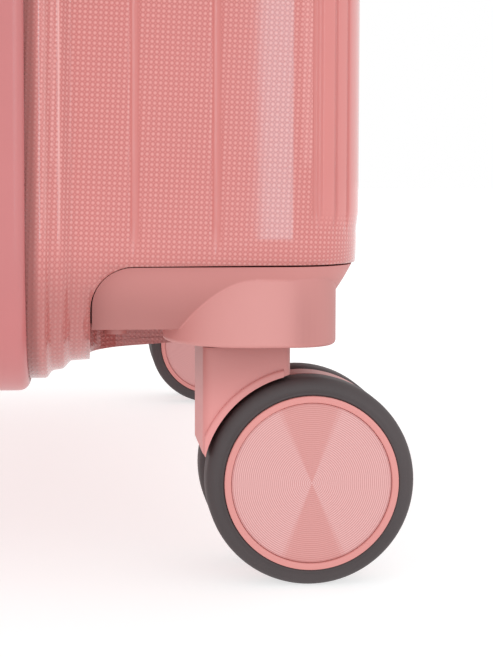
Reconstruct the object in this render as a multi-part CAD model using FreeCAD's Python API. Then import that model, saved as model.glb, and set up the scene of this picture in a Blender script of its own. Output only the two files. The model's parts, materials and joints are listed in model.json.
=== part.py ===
"""Hard-shell cabin suitcase with a central frame, a telescopic trolley handle and four twin-wheel casters.

Frame of the part: millimetres, +Z up, origin on the floor under the middle of the case.
X runs along the case's width, Y along its depth. The closing plane of the two half shells is y = 0:
the base half (y > 0) carries the trolley handle, the lid half (y < 0) swings about a pin line beside -X.
Latches, lock and side handle are on the +X side, hinges and side feet on the -X side.
"""
import FreeCAD
import Part
import math
import os
from FreeCAD import Vector

# ---------------------------------------------------------------- driving dimensions
FRAME_WIDTH = 380.0          # closing frame, outside to outside, along X
FRAME_HEIGHT = 480.0         # closing frame, outside to outside, along Z
HALF_DEPTH = 102.5           # closing plane to the face of one half shell
FLOOR_TO_FRAME = 50.0        # floor to the underside of the closing frame
CORNER_RADIUS = 40.0         # outside radius of the frame's corners

FRAME_BAND = 16.0            # depth of one frame profile along Y
FRAME_WALL = 3.0             # outer wall of a frame profile
FRAME_THICKNESS = 8.0        # whole frame profile, outside to inside
FRAME_EDGE = 1.2             # rounded outer edge of a frame profile
PARTING_GAP = 0.15           # gap from the closing plane to each frame profile

SHELL_WALL = 2.0             # moulded shell thickness
SHELL_RIM_INSET = 3.2        # frame's outside to the shell's first shoulder
RIM_SLOT_CLEARANCE = 0.2     # shell rim in the frame's slot, each side
RIM_START = 6.3              # where the rim starts inside the frame, along Y
SHOULDERS = ((3.2, FRAME_BAND + 4.6), (5.2, FRAME_BAND + 5.8),      # inset and depth of each
             (5.6, FRAME_BAND + 8.8), (7.8, FRAME_BAND + 10.8))     # shoulder corner
WALL_DRAFT = 4.0             # degrees that the shell's wall leans in
EDGE_RADIUS = 20.0           # shell wall to shell face

GASKET_WIDTH = 2.0
GASKET_DEPTH = 2.4
TONGUE_REACH = 0.9           # lid frame's tongue past the closing plane

SWIVEL_X = FRAME_WIDTH / 2 - 37.5     # swivel axes, from the middle of the case
SWIVEL_Y = HALF_DEPTH - 28.5
WHEEL_DIAMETER = 55.0
WHEEL_RADIUS = WHEEL_DIAMETER / 2
TYRE_INNER_RADIUS = WHEEL_RADIUS - 4.6
TYRE_SHOULDER = 2.2          # rounding of the tyre's tread edges
WHEEL_WIDTH = 13.0
WHEEL_GAP = 10.0             # between the two wheels of a caster
WHEEL_TRAIL = 15.5           # swivel axis to axle
CAP_RADIUS = TYRE_INNER_RADIUS - 2.0    # turned trim disc in the wheel's face
CAP_DEPTH = 0.8
CAP_RECESS = 0.4
AXLE_RADIUS = 3.0
KINGPIN_RADIUS = 5.0
RUNNING_CLEARANCE = 0.05
FORK_NECK_FRONT = 12.8       # swivel axis to the neck's leading face
FORK_NECK_REAR = 10.2
FORK_WIDTH = WHEEL_GAP + 2 * WHEEL_WIDTH - 3.0
FORK_WEB = WHEEL_GAP - 1.6   # plate between the two wheels
FORK_WHEEL_CLEARANCE = 1.2
FENDER_THICKNESS = 1.9
FENDER_STANDOUT = 0.9        # fender's edge proud of the neck
NECK_DROP = 4.5              # neck's lowest edge above the axle
NECK_CHAMFER = 3.0
NECK_ROUNDING = 2.5
SWIVEL_GAP = 0.5             # between the boss and the fork

BOSS_RADIUS = 22.5           # swivel boss under the housing
BOSS_CORNER_RADIUS = 0.53 * BOSS_RADIUS   # its rounding on the side of the case's corner
BOSS_EDGE = 1.2              # rounding of its bottom edge
BOSS_BOTTOM = WHEEL_DIAMETER + 8.5
HOUSING_WALL = 2.8
HOUSING_BOTTOM = BOSS_BOTTOM + 4.0
BOSS_TOP = HOUSING_BOTTOM + 14.0
HOUSING_TOP = HOUSING_BOTTOM + 17.5   # top of the wheel housing and of its opening in the shell
HOUSING_START_X = SWIVEL_X - 24.0     # opening's edges nearest the middle of the case
HOUSING_START_Y = SWIVEL_Y - 42.2
OPENING_CORNER = 11.0        # rounded corner of the opening
OPENING_RETURN = 8.0         # shell wall turned in round the opening
HOUSING_CLEARANCE = 0.5      # housing to the opening's edge
HOUSING_RECESS = 0.9         # housing surface under the shell surface at the top
FLANGE_WALL = 2.2            # rim of the housing that lines the opening
FLANGE_REACH = 12.0          # how deep the rim goes under the shell surface
HOUSING_LEAN = 12.4          # how far the housing's surface leans in down to its bottom edge
SCREW_RADIUS = 1.6
SCREW_HEAD = (3.2, 1.6)       # radius and height
SCREW_PLACES = ((-17.0, -35.5), (6.0, -35.5))     # from the swivel axis

HINGE_OFFSET = 5.0           # pin line outside the frame
HINGE_LENGTH = 60.0
HINGE_KNUCKLE_RADIUS = 4.0
HINGE_PIN_RADIUS = 2.0
HINGE_SPREAD = FRAME_HEIGHT / 2 - 100.0   # hinge centres above and below the frame's middle
LEAF_THICKNESS = 1.6

LATCH_SPREAD = FRAME_HEIGHT / 2 - 145.0   # latch centres above and below the frame's middle
LATCH_HALF_LENGTH = 17.0
LATCH_PIVOT_Y = 11.0
LATCH_PIVOT_OUT = 5.4
LATCH_PIN_RADIUS = 1.5
LATCH_BARREL_WALL = 1.1
LATCH_PLATE = 1.6
LATCH_PLATE_Y = (1.5, 14.5)
LATCH_EAR = 3.1
LATCH_EAR_GAP = 0.4
LATCH_REACH = 20.4           # pivot to the hook's tip
KEEPER_HEIGHT = 2.6
HOOK_CLEARANCE = 0.3         # hook's nose over the keeper's crest

LOCK_HALF_LENGTH = 30.0
LOCK_HEIGHT = 9.5
LOCK_BASE_Y = (1.5, 15.0)
LOCK_LID_Y = (-13.0, -1.5)
LOCK_ROUNDING = 1.5
LOCK_SLOT_START = 6.0        # above the frame's middle
LOCK_BUTTON = (6.9, 12.0)    # across and along the lock
LOCK_TRAVEL = 7.0
DIAL_Y = 8.2
DIAL_START = 20.0            # first dial under the frame's middle
DIAL_GAP = 0.3
DIAL_RADIUS = 5.0
DIAL_THICKNESS = 3.8
DIAL_PITCH = 6.0
DIAL_COUNT = 3
DIAL_FLOOR = 0.6             # dial to the frame
DIAL_SHAFT_RADIUS = 1.5

STANDOUT = 13.0              # side feet and side handle past the frame
FOOT_TIP_RADIUS = 10.0
FOOT_BASE_RADIUS = 13.0
FOOT_Y = 50.0
FOOT_SPREAD = {"base": FRAME_HEIGHT / 2 - 90.0,      # staggered, so the open halves' feet
               "lid": FRAME_HEIGHT / 2 - 124.0}      # pass each other

HANDLE_LENGTH = 180.0        # carry handles, over their end mounts
HANDLE_WIDTH = 26.0
HANDLE_THICKNESS = 8.0
HANDLE_TRAVEL = 12.0
HANDLE_Y = FRAME_BAND + 31.0
MOUNT_LENGTH = 30.0
MOUNT_WALL = 4.0
HANDLE_CLEARANCE = 0.5
TOP_HANDLE_STANDOUT = 18.0   # top handle above the shell wall

TUBE_SPACING = FRAME_WIDTH - 220.0
TUBE_Y = HALF_DEPTH - 15.5
OUTER_TUBE = (20.0, 14.0)
TUBE_WALL = 1.1
TUBE_CLEARANCE = 0.3         # each side, between one stage and the next
OUTER_TUBE_BOTTOM = FLOOR_TO_FRAME + 26.0
MIDDLE_TUBE_LIFT = 6.0       # lowest end of each stage above the one around it
LOWER_STAGE_TRAVEL = 205.0
UPPER_STAGE_TRAVEL = 215.0
BEZEL_HALF_LENGTH = TUBE_SPACING / 2 + OUTER_TUBE[0] / 2 + 16.0
BEZEL_Y = (TUBE_Y - OUTER_TUBE[1] / 2 - 5.4, TUBE_Y + OUTER_TUBE[1] / 2 + 5.4)
BEZEL_TOP = FLOOR_TO_FRAME + FRAME_HEIGHT - 6.5
BEZEL_BOTTOM = BEZEL_TOP - 23.5
GRIP_HALF_LENGTH = BEZEL_HALF_LENGTH - 11.0
GRIP_DEPTH = OUTER_TUBE[1] + 9.0
GRIP_BOTTOM = BEZEL_TOP + 1.0
GRIP_TOP = GRIP_BOTTOM + 24.0
BUTTON_SIZE = (30.0, 12.0)
BUTTON_TRAVEL = 3.0
BUTTON_STANDOUT = 1.5
BUTTON_DEPTH = 4.5
BUTTON_GAP = 0.3

LINING_THICKNESS = 1.2
LINING_CLEARANCE = 1.8       # lining to the shell
LINING_START = 8.0           # closing plane to the lining's hem
BASE_LINING_DEPTH = TUBE_Y - OUTER_TUBE[1] / 2 - 6.0   # in front of the trolley tubes
DIVIDER_Y = (-7.0, -4.0)
DIVIDER_INSET = 10.0
STRAP_WIDTH = 38.0
STRAP_THICKNESS = 1.4

# ---------------------------------------------------------------- derived places
HALF_WIDTH = FRAME_WIDTH / 2
FRAME_TOP = FLOOR_TO_FRAME + FRAME_HEIGHT
MIDDLE_Z = (FLOOR_TO_FRAME + FRAME_TOP) / 2
DRAFT = math.tan(math.radians(WALL_DRAFT))
WALL_START_INSET, WALL_START_Y = SHOULDERS[-1]


def wall_inset(y):
    """Inset of the shell's leaning wall at the depth y, before its edge radius."""
    return WALL_START_INSET + (y - WALL_START_Y) * DRAFT


EDGE_CENTRE_Y = HALF_DEPTH - EDGE_RADIUS
EDGE_CENTRE_INSET = (wall_inset(EDGE_CENTRE_Y)
                     + EDGE_RADIUS / math.cos(math.radians(WALL_DRAFT)))
EDGE_CENTRE_X = HALF_WIDTH - EDGE_CENTRE_INSET
LINING_RADIUS = EDGE_RADIUS - SHELL_WALL - LINING_CLEARANCE
LINING_INSET = EDGE_CENTRE_INSET - LINING_RADIUS
STAGE_STEP = 2 * (TUBE_WALL + TUBE_CLEARANCE)
MIDDLE_TUBE = tuple(size - STAGE_STEP for size in OUTER_TUBE)
INNER_TUBE = tuple(size - STAGE_STEP for size in MIDDLE_TUBE)
os.makedirs("parts", exist_ok=True)


# ---------------------------------------------------------------- helpers
def box(x, y, z):
    """A box from (low, high) pairs."""
    return Part.makeBox(x[1] - x[0], y[1] - y[0], z[1] - z[0], Vector(x[0], y[0], z[0]))


def cylinder(radius, base, direction, length):
    return Part.makeCylinder(radius, length, Vector(*base), Vector(*direction))


def fuse(first, *others):
    return first.multiFuse(list(others)).removeSplitter()


def edges_at(shape, axis, place):
    """The edges that lie in the plane across one axis at a place."""
    low, high = axis.upper() + "Min", axis.upper() + "Max"
    return [e for e in shape.Edges
            if max(abs(getattr(e.BoundBox, low) - place), abs(getattr(e.BoundBox, high) - place)) < 0.05]


def edges_along(shape, axis):
    """The straight edges that run along one axis."""
    size = axis.upper() + "Length"
    return [e for e in shape.Edges if abs(getattr(e.BoundBox, size) - e.Length) < 0.01 and e.Length > 0.5]


def mirrored(shape, normal):
    """The shape's mirror image about a plane through the case's axis."""
    return shape.mirror(Vector(0, 0, 0), Vector(*normal))


def save(name, *solids):
    """One STEP file for one node, made of one or more separate solids."""
    pieces = [solid for shape in solids for solid in shape.Solids]
    shape = pieces[0] if len(pieces) == 1 else Part.makeCompound(pieces)
    shape.exportStep("parts/" + name + ".step")


def wire_face(points):
    """A flat face from points; a point given as (middle, end) is reached by an arc through middle."""
    edges, here = [], points[0]
    for step in points[1:] + [points[0]]:
        if isinstance(step, tuple):
            middle, end = step
            edges.append(Part.Arc(here, middle, end).toShape())
            here = end
        elif (step - here).Length > 1e-6:
            edges.append(Part.LineSegment(here, step).toShape())
            here = step
    return Part.Face(Part.Wire(edges))


def around_case(section):
    """Carries a closed section, given as (inset, y) points, round the case's outline.

    A point is (inset, y), or ((inset, y), (inset, y)) for an arc through the first to the second.
    """
    straight_x, straight_z = HALF_WIDTH - CORNER_RADIUS, FRAME_HEIGHT / 2 - CORNER_RADIUS

    def face(place):
        points = []
        for step in section:
            if isinstance(step[0], tuple):
                points.append((place(*step[0]), place(*step[1])))
            else:
                points.append(place(*step))
        return wire_face(points)

    pieces = []
    for side in (-1, 1):
        low = face(lambda n, y, s=side: Vector(-straight_x, y, MIDDLE_Z + s * (FRAME_HEIGHT / 2 - n)))
        pieces.append(low.extrude(Vector(2 * straight_x, 0, 0)))
        wall = face(lambda n, y, s=side: Vector(s * (HALF_WIDTH - n), y, MIDDLE_Z - straight_z))
        pieces.append(wall.extrude(Vector(0, 0, 2 * straight_z)))
        for up in (-1, 1):
            centre = Vector(side * straight_x, 0, MIDDLE_Z + up * straight_z)
            start = face(lambda n, y, s=side, c=centre: Vector(c.x + s * (CORNER_RADIUS - n), y, c.z))
            turn = -90 * side * up
            pieces.append(start.revolve(centre, Vector(0, 1, 0), turn))
    return fuse(*pieces)


def inner_block(inset, y_low, y_high):
    """A plain block with rounded corners that fills the case's outline inside the inset."""
    radius = CORNER_RADIUS - inset
    x, z = HALF_WIDTH - inset, FRAME_HEIGHT / 2 - inset
    block = box((-x, x), (y_low, y_high), (MIDDLE_Z - z, MIDDLE_Z + z))
    return block.makeFillet(radius, edges_along(block, "y"))


def tube(size, wall, x, y, z_low, z_high):
    """A rectangular tube with rounded corners, standing on z_low."""
    def bar(width, depth, radius):
        solid = box((x - width / 2, x + width / 2), (y - depth / 2, y + depth / 2), (z_low, z_high))
        return solid.makeFillet(radius, edges_along(solid, "z"))
    outer_radius = 3.0
    return bar(size[0], size[1], outer_radius).cut(
        bar(size[0] - 2 * wall, size[1] - 2 * wall, outer_radius - wall))


# ---------------------------------------------------------------- shells
def shell_profile(offset):
    """The shell's surface from its rim to the edge of its flat face, moved inwards by offset."""
    lean = math.radians(WALL_DRAFT)
    radius = EDGE_RADIUS - offset

    def on_edge(angle):
        return (EDGE_CENTRE_INSET - radius * math.cos(angle), EDGE_CENTRE_Y + radius * math.sin(angle))

    points = [(SHELL_RIM_INSET + offset, RIM_START)]
    points += [(inset + offset, y) for inset, y in SHOULDERS]
    points.append(on_edge(lean))
    points.append((on_edge((lean + math.pi / 2) / 2), on_edge(math.pi / 2)))
    return points


def case_volume(offset):
    """The closed volume inside the base shell's surface, moved inwards by offset."""
    face_y = HALF_DEPTH - offset
    ring = around_case(shell_profile(offset) + [(CORNER_RADIUS, face_y), (CORNER_RADIUS, RIM_START)])
    x, z = HALF_WIDTH - CORNER_RADIUS, FRAME_HEIGHT / 2 - CORNER_RADIUS
    core = box((-x, x), (RIM_START, face_y), (MIDDLE_Z - z, MIDDLE_Z + z))
    return fuse(ring, core)


def housing_block(clearance):
    """The space of one wheel housing at the +X +Y corner, rounded like the opening's corners."""
    low_x, low_y = HOUSING_START_X + clearance, HOUSING_START_Y + clearance
    top = HOUSING_TOP - clearance
    block = box((low_x, HALF_WIDTH + 10), (low_y, HALF_DEPTH + 10), (HOUSING_BOTTOM - 30, top))

    def near(edge):
        middle = edge.CenterOfMass
        along = edge.Vertexes[1].Point - edge.Vertexes[0].Point
        on_top = abs(middle.z - top) < 0.01
        if abs(along.x) > 1:
            return on_top and abs(middle.y - low_y) < 0.01
        if abs(along.y) > 1:
            return on_top and abs(middle.x - low_x) < 0.01
        return abs(middle.x - low_x) < 0.01 and abs(middle.y - low_y) < 0.01

    return block.makeFillet(OPENING_CORNER - clearance, [e for e in block.Edges if near(e)])


def at_both_sides(shape):
    """The shape and its mirror image across the case's width."""
    return [shape, mirrored(shape, (1, 0, 0))]


def make_shells():
    """Both half shells; returns the base shell."""
    blank = case_volume(0.0).cut(case_volume(SHELL_WALL))
    opening = housing_block(0.0)
    slot = 0.3
    bezel_slot = box((-BEZEL_HALF_LENGTH - slot, BEZEL_HALF_LENGTH + slot),
                     (BEZEL_Y[0] - slot, BEZEL_Y[1] + slot), (BEZEL_BOTTOM - slot, FRAME_TOP))
    rim = housing_block(-SHELL_WALL).cut(opening)
    rim = rim.common(case_volume(0.0)).cut(case_volume(OPENING_RETURN))
    common = blank.cut(Part.makeCompound(at_both_sides(opening))).fuse(at_both_sides(rim)).removeSplitter()
    base_shell = common.cut(bezel_slot)
    save("base_shell", base_shell)
    save("lid_shell", mirrored(common, (0, 1, 0)))
    return base_shell


# ---------------------------------------------------------------- closing frame
def frame_section():
    """Base frame profile: shell slot towards +Y, gasket groove in the closing face."""
    slot_low = SHELL_RIM_INSET - RIM_SLOT_CLEARANCE
    slot_high = SHELL_RIM_INSET + SHELL_WALL + RIM_SLOT_CLEARANCE
    bend = FRAME_EDGE * (1 - math.sqrt(0.5))
    return [
        (0.0, PARTING_GAP), (0.0, FRAME_BAND - FRAME_EDGE),
        ((bend, FRAME_BAND - bend), (FRAME_EDGE, FRAME_BAND)),
        (slot_low, FRAME_BAND), (slot_low, RIM_START - 0.3), (slot_high, RIM_START - 0.3),
        (slot_high, FRAME_BAND - FRAME_WALL), (FRAME_THICKNESS, FRAME_BAND - FRAME_WALL),
        (FRAME_THICKNESS, PARTING_GAP),
    ]


GROOVE_INSET = 3.0
GROOVE_WIDTH = GASKET_WIDTH + 0.2
GROOVE_DEPTH = 3.4


def make_frames():
    groove = [(GROOVE_INSET, PARTING_GAP), (GROOVE_INSET, GROOVE_DEPTH),
              (GROOVE_INSET + GROOVE_WIDTH, GROOVE_DEPTH), (GROOVE_INSET + GROOVE_WIDTH, PARTING_GAP)]
    section = frame_section()
    save("base_frame", around_case(section + groove[::-1]))
    tongue_low, tongue_high = GROOVE_INSET + 0.35, GROOVE_INSET + GROOVE_WIDTH - 0.35
    tongue = [(tongue_high, PARTING_GAP), (tongue_high, -TONGUE_REACH),
              (tongue_low, -TONGUE_REACH), (tongue_low, PARTING_GAP)]
    save("lid_frame", mirrored(around_case(section + tongue), (0, 1, 0)))
    gasket = [(GROOVE_INSET + 0.1, GROOVE_DEPTH - GASKET_DEPTH), (GROOVE_INSET + 0.1, GROOVE_DEPTH),
              (GROOVE_INSET + 0.1 + GASKET_WIDTH, GROOVE_DEPTH),
              (GROOVE_INSET + 0.1 + GASKET_WIDTH, GROOVE_DEPTH - GASKET_DEPTH)]
    save("frame_gasket", around_case(gasket))


# ---------------------------------------------------------------- wheel housings
def leaning_profile(offset):
    """Housing surface as (radius, z) from bottom to top: a gentle arc that leans in downwards."""
    top = EDGE_RADIUS - HOUSING_RECESS - offset
    bottom = top - HOUSING_LEAN
    sag = 1.0
    middle = ((top + bottom) / 2 + sag, (HOUSING_TOP + HOUSING_BOTTOM) / 2)
    return (bottom, HOUSING_BOTTOM), middle, (top, HOUSING_TOP)


def housing_body(offset, z_low, z_high):
    """The housing's leaning body round the corner axis, moved inwards by offset."""
    bottom, middle, top = leaning_profile(offset)

    def face(direction, base):
        def place(radius, z):
            return base + direction * radius + Vector(0, 0, z)
        return wire_face([place(0, bottom[1]), place(*bottom), (place(*middle), place(*top)),
                          place(0, top[1])])

    axis = Vector(EDGE_CENTRE_X, EDGE_CENTRE_Y, 0)
    along_y = face(Vector(1, 0, 0), axis).extrude(Vector(0, HOUSING_START_Y - EDGE_CENTRE_Y, 0))
    along_x = face(Vector(0, 1, 0), axis).extrude(Vector(HOUSING_START_X - EDGE_CENTRE_X, 0, 0))
    corner = face(Vector(1, 0, 0), axis).revolve(axis, Vector(0, 0, 1), 90)
    middle = box((HOUSING_START_X, EDGE_CENTRE_X), (HOUSING_START_Y, EDGE_CENTRE_Y),
                 (HOUSING_BOTTOM, HOUSING_TOP))
    body = fuse(along_y, along_x, corner, middle)
    return body.common(box((0, HALF_WIDTH), (0, HALF_DEPTH), (z_low, z_high)))


def housing_flange():
    """Rim of the housing that lines the shell's opening."""
    walls = housing_block(HOUSING_CLEARANCE).cut(housing_block(HOUSING_CLEARANCE + FLANGE_WALL))
    return walls.common(housing_body(0.0, HOUSING_BOTTOM, HOUSING_TOP)).cut(case_volume(FLANGE_REACH))


def swivel_boss():
    """Round boss over the caster, squarer towards the case's corner, where it runs into the housing."""
    round_part = cylinder(BOSS_RADIUS, (SWIVEL_X, SWIVEL_Y, BOSS_BOTTOM), (0, 0, 1), BOSS_TOP - BOSS_BOTTOM)
    outer_x, outer_y = (SWIVEL_X, SWIVEL_X + BOSS_RADIUS), (SWIVEL_Y, SWIVEL_Y + BOSS_RADIUS)
    corner = box(outer_x, outer_y, (BOSS_BOTTOM, BOSS_TOP))
    outermost = [e for e in corner.Edges if e.BoundBox.XMin > SWIVEL_X and e.BoundBox.YMin > SWIVEL_Y]
    boss = fuse(round_part, corner.makeFillet(BOSS_CORNER_RADIUS, outermost))
    return boss.makeFillet(BOSS_EDGE, edges_at(boss, "z", BOSS_BOTTOM))


def wheel_housing():
    """Open-topped moulding that closes the shell's corner and carries the caster's boss."""
    outside = housing_body(0.0, HOUSING_BOTTOM, HOUSING_TOP).common(housing_block(HOUSING_CLEARANCE))
    hollow = housing_body(HOUSING_WALL, HOUSING_BOTTOM + HOUSING_WALL, HOUSING_TOP).common(
        housing_block(HOUSING_CLEARANCE + HOUSING_WALL))
    hollow = fuse(hollow, hollow.translated(Vector(0, 0, HOUSING_WALL)))
    boss = swivel_boss()
    bore = cylinder(KINGPIN_RADIUS + RUNNING_CLEARANCE, (SWIVEL_X, SWIVEL_Y, BOSS_BOTTOM - 1), (0, 0, 1), 40)
    holes = [cylinder(SCREW_RADIUS + 0.1, (SWIVEL_X + x, SWIVEL_Y + y, HOUSING_BOTTOM - 1), (0, 0, 1), 12)
             for x, y in SCREW_PLACES]
    return fuse(outside.cut(hollow), housing_flange(), boss).cut(Part.makeCompound([bore] + holes))


def housing_screws():
    """Pan-head screws up through the housing's floor."""
    screws = []
    for x, y in SCREW_PLACES:
        place = (SWIVEL_X + x, SWIVEL_Y + y)
        head = cylinder(SCREW_HEAD[0], place + (HOUSING_BOTTOM - SCREW_HEAD[1],), (0, 0, 1), SCREW_HEAD[1])
        shank = cylinder(SCREW_RADIUS, place + (HOUSING_BOTTOM - 0.5,), (0, 0, 1), HOUSING_WALL + 3.0)
        screws.append(fuse(head, shank))
    return Part.makeCompound(screws)


# ---------------------------------------------------------------- casters
def caster_fork():
    """Swivelling yoke: neck under the boss, fender over the wheels and a plate between them."""
    axle_y, axle_z = SWIVEL_Y + WHEEL_TRAIL, WHEEL_RADIUS
    top = BOSS_BOTTOM - SWIVEL_GAP
    half = FORK_WIDTH / 2
    neck_half = half - FENDER_STANDOUT
    clear = WHEEL_RADIUS + FORK_WHEEL_CLEARANCE
    left = SWIVEL_X - half
    front, rear = SWIVEL_Y - FORK_NECK_FRONT, SWIVEL_Y + FORK_NECK_REAR
    low = axle_z + NECK_DROP
    neck = box((SWIVEL_X - neck_half, SWIVEL_X + neck_half), (front, rear), (low, top))
    neck = neck.makeFillet(NECK_ROUNDING, edges_along(neck, "z"))
    slope = wire_face([Vector(left, front, low), Vector(left, front + NECK_CHAMFER, low),
                       Vector(left, front, low + NECK_CHAMFER)]).extrude(Vector(FORK_WIDTH, 0, 0))
    wheel_space = cylinder(clear, (left - 1, axle_y, axle_z), (1, 0, 0), FORK_WIDTH + 2)
    neck = neck.cut(Part.makeCompound([slope, wheel_space]))
    ring = cylinder(clear + FENDER_THICKNESS, (left, axle_y, axle_z), (1, 0, 0), FORK_WIDTH)
    ring = ring.makeFillet(0.8, edges_at(ring, "x", left) + edges_at(ring, "x", left + FORK_WIDTH))
    sector = box((left - 1, left + FORK_WIDTH + 1), (front + 0.4, rear - 2.0), (low, top))
    fender = ring.cut(wheel_space).common(sector).cut(slope)
    web_low, web_high = SWIVEL_X - FORK_WEB / 2, SWIVEL_X + FORK_WEB / 2
    plate = cylinder(TYRE_INNER_RADIUS, (web_low, axle_y, axle_z), (1, 0, 0), FORK_WEB)
    crown = cylinder(WHEEL_RADIUS - 0.4, (web_low, axle_y, axle_z), (1, 0, 0), FORK_WEB)
    crown = crown.common(box((web_low, web_high), (front, axle_y + WHEEL_RADIUS), (low, top)))
    stem = box((web_low, web_high), (front + 3, rear), (axle_z, top))
    bore = cylinder(AXLE_RADIUS, (left, axle_y, axle_z), (1, 0, 0), FORK_WIDTH)
    socket = cylinder(KINGPIN_RADIUS, (SWIVEL_X, SWIVEL_Y, top - 9), (0, 0, 1), 20)
    return fuse(neck, fender, plate, crown, stem).cut(Part.makeCompound([bore, socket]))


def caster_pins():
    """Riveted kingpin through the boss, and the axle through both wheels."""
    top = BOSS_BOTTOM - SWIVEL_GAP
    seat = BOSS_TOP + SWIVEL_GAP
    kingpin = cylinder(KINGPIN_RADIUS, (SWIVEL_X, SWIVEL_Y, top - 9), (0, 0, 1), seat - (top - 9))
    head = cylinder(KINGPIN_RADIUS + 3, (SWIVEL_X, SWIVEL_Y, seat), (0, 0, 1), 2.0)
    half = WHEEL_GAP / 2 + WHEEL_WIDTH - 3.0
    axle_y = SWIVEL_Y + WHEEL_TRAIL
    axle = cylinder(AXLE_RADIUS, (SWIVEL_X - half, axle_y, WHEEL_RADIUS), (1, 0, 0), 2 * half)
    return Part.makeCompound([fuse(kingpin, head), axle])


def turned(points, x_face, outward):
    """A wheel piece turned about the axle; points are (radius, depth in from the wheel's outer face)."""
    centre = Vector(0, SWIVEL_Y + WHEEL_TRAIL, WHEEL_RADIUS)

    def place(point):
        return Vector(x_face - outward * point[1], centre.y, centre.z + point[0])

    walked = [(place(p[0]), place(p[1])) if isinstance(p[0], tuple) else place(p) for p in points]
    return wire_face(walked).revolve(centre, Vector(1, 0, 0), 360)


def caster_wheel(outward):
    """Tyre, hub and trim disc of one wheel; outward is +1 for the wheel nearer the case's side."""
    x_face = SWIVEL_X + outward * (WHEEL_GAP / 2 + WHEEL_WIDTH)
    bulge = TYRE_SHOULDER * (1 - math.sqrt(0.5))
    tread = WHEEL_RADIUS
    tyre = turned([
        (TYRE_INNER_RADIUS, 0.6), (tread - TYRE_SHOULDER, 0.0 + 0.6),
        ((tread - bulge, 0.6 + bulge), (tread, 0.6 + TYRE_SHOULDER)),
        (tread, WHEEL_WIDTH - TYRE_SHOULDER),
        ((tread - bulge, WHEEL_WIDTH - bulge), (tread - TYRE_SHOULDER, WHEEL_WIDTH)),
        (TYRE_INNER_RADIUS, WHEEL_WIDTH)], x_face, outward)
    bore = AXLE_RADIUS + RUNNING_CLEARANCE
    pocket = CAP_RECESS + CAP_DEPTH
    hub = turned([
        (bore, 2.6), (CAP_RADIUS - 3, 2.6), (CAP_RADIUS - 3, pocket), (CAP_RADIUS + 0.1, pocket),
        (CAP_RADIUS + 0.1, 0.0), (TYRE_INNER_RADIUS, 0.0), (TYRE_INNER_RADIUS, WHEEL_WIDTH),
        (TYRE_INNER_RADIUS - 2.5, WHEEL_WIDTH), (TYRE_INNER_RADIUS - 2.5, 6.0), (AXLE_RADIUS + 3.5, 6.0),
        (AXLE_RADIUS + 3.5, WHEEL_WIDTH), (bore, WHEEL_WIDTH)], x_face, outward)
    cap = turned([(0.0, CAP_RECESS), (CAP_RADIUS, CAP_RECESS), (CAP_RADIUS, pocket), (0.0, pocket)],
                 x_face, outward)
    return tyre, Part.makeCompound([hub, cap])


CORNERS = (("back_right", 1, 1), ("back_left", -1, 1), ("front_right", 1, -1), ("front_left", -1, -1))


def make_casters():
    fork, pins = caster_fork(), caster_pins()
    wheels = {"outer": caster_wheel(1), "inner": caster_wheel(-1)}
    housings, screws = wheel_housing(), housing_screws()
    by_half = {1: [], -1: []}
    for name, side, half in CORNERS:
        def moved(shape, s=side, h=half):
            if s < 0:
                shape = mirrored(shape, (1, 0, 0))
            if h < 0:
                shape = mirrored(shape, (0, 1, 0))
            return shape
        save(name + "_fork", moved(fork))
        save(name + "_pins", moved(pins))
        for place, (tyre, hub) in wheels.items():
            save(name + "_" + place + "_tyre", moved(tyre))
            save(name + "_" + place + "_hub", moved(hub))
        by_half[half].append((moved(housings), moved(screws)))
    for half, label in ((1, "base"), (-1, "lid")):
        save(label + "_wheel_housings", *[pair[0] for pair in by_half[half]])
        save(label + "_housing_screws", *[pair[1] for pair in by_half[half]])


# ---------------------------------------------------------------- hinges
def make_hinges():
    pin_x = -HALF_WIDTH - HINGE_OFFSET
    knuckle = HINGE_LENGTH / 3
    gap = 0.4
    leaves = {1: [], -1: []}
    pins = []
    for place in (-1, 1):
        middle = MIDDLE_Z + place * HINGE_SPREAD
        for half, starts in ((1, (-knuckle / 2,)), (-1, (-HINGE_LENGTH / 2, knuckle / 2))):
            plate = box((-HALF_WIDTH - LEAF_THICKNESS, -HALF_WIDTH), (2.6, FRAME_BAND - 3.0),
                        (middle - HINGE_LENGTH / 2, middle + HINGE_LENGTH / 2))
            solids = [plate if half > 0 else mirrored(plate, (0, 1, 0))]
            for start in starts:
                low, length = middle + start + gap / 2, knuckle - gap
                barrel = cylinder(HINGE_KNUCKLE_RADIUS, (pin_x, 0, low), (0, 0, 1), length)
                web = box((pin_x, -HALF_WIDTH), (1.2, 5.0), (low, low + length))
                solids += [barrel, web if half > 0 else mirrored(web, (0, 1, 0))]
            bore = cylinder(HINGE_PIN_RADIUS + (0 if half > 0 else RUNNING_CLEARANCE),
                            (pin_x, 0, middle - HINGE_LENGTH), (0, 0, 1), 2 * HINGE_LENGTH)
            leaves[half].append(fuse(*solids).cut(bore))
        low = middle - HINGE_LENGTH / 2
        pins.append(cylinder(HINGE_PIN_RADIUS, (pin_x, 0, low), (0, 0, 1), HINGE_LENGTH))
    save("base_hinge_leaves", *leaves[1])
    save("lid_hinge_leaves", *leaves[-1])
    return pins


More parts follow.
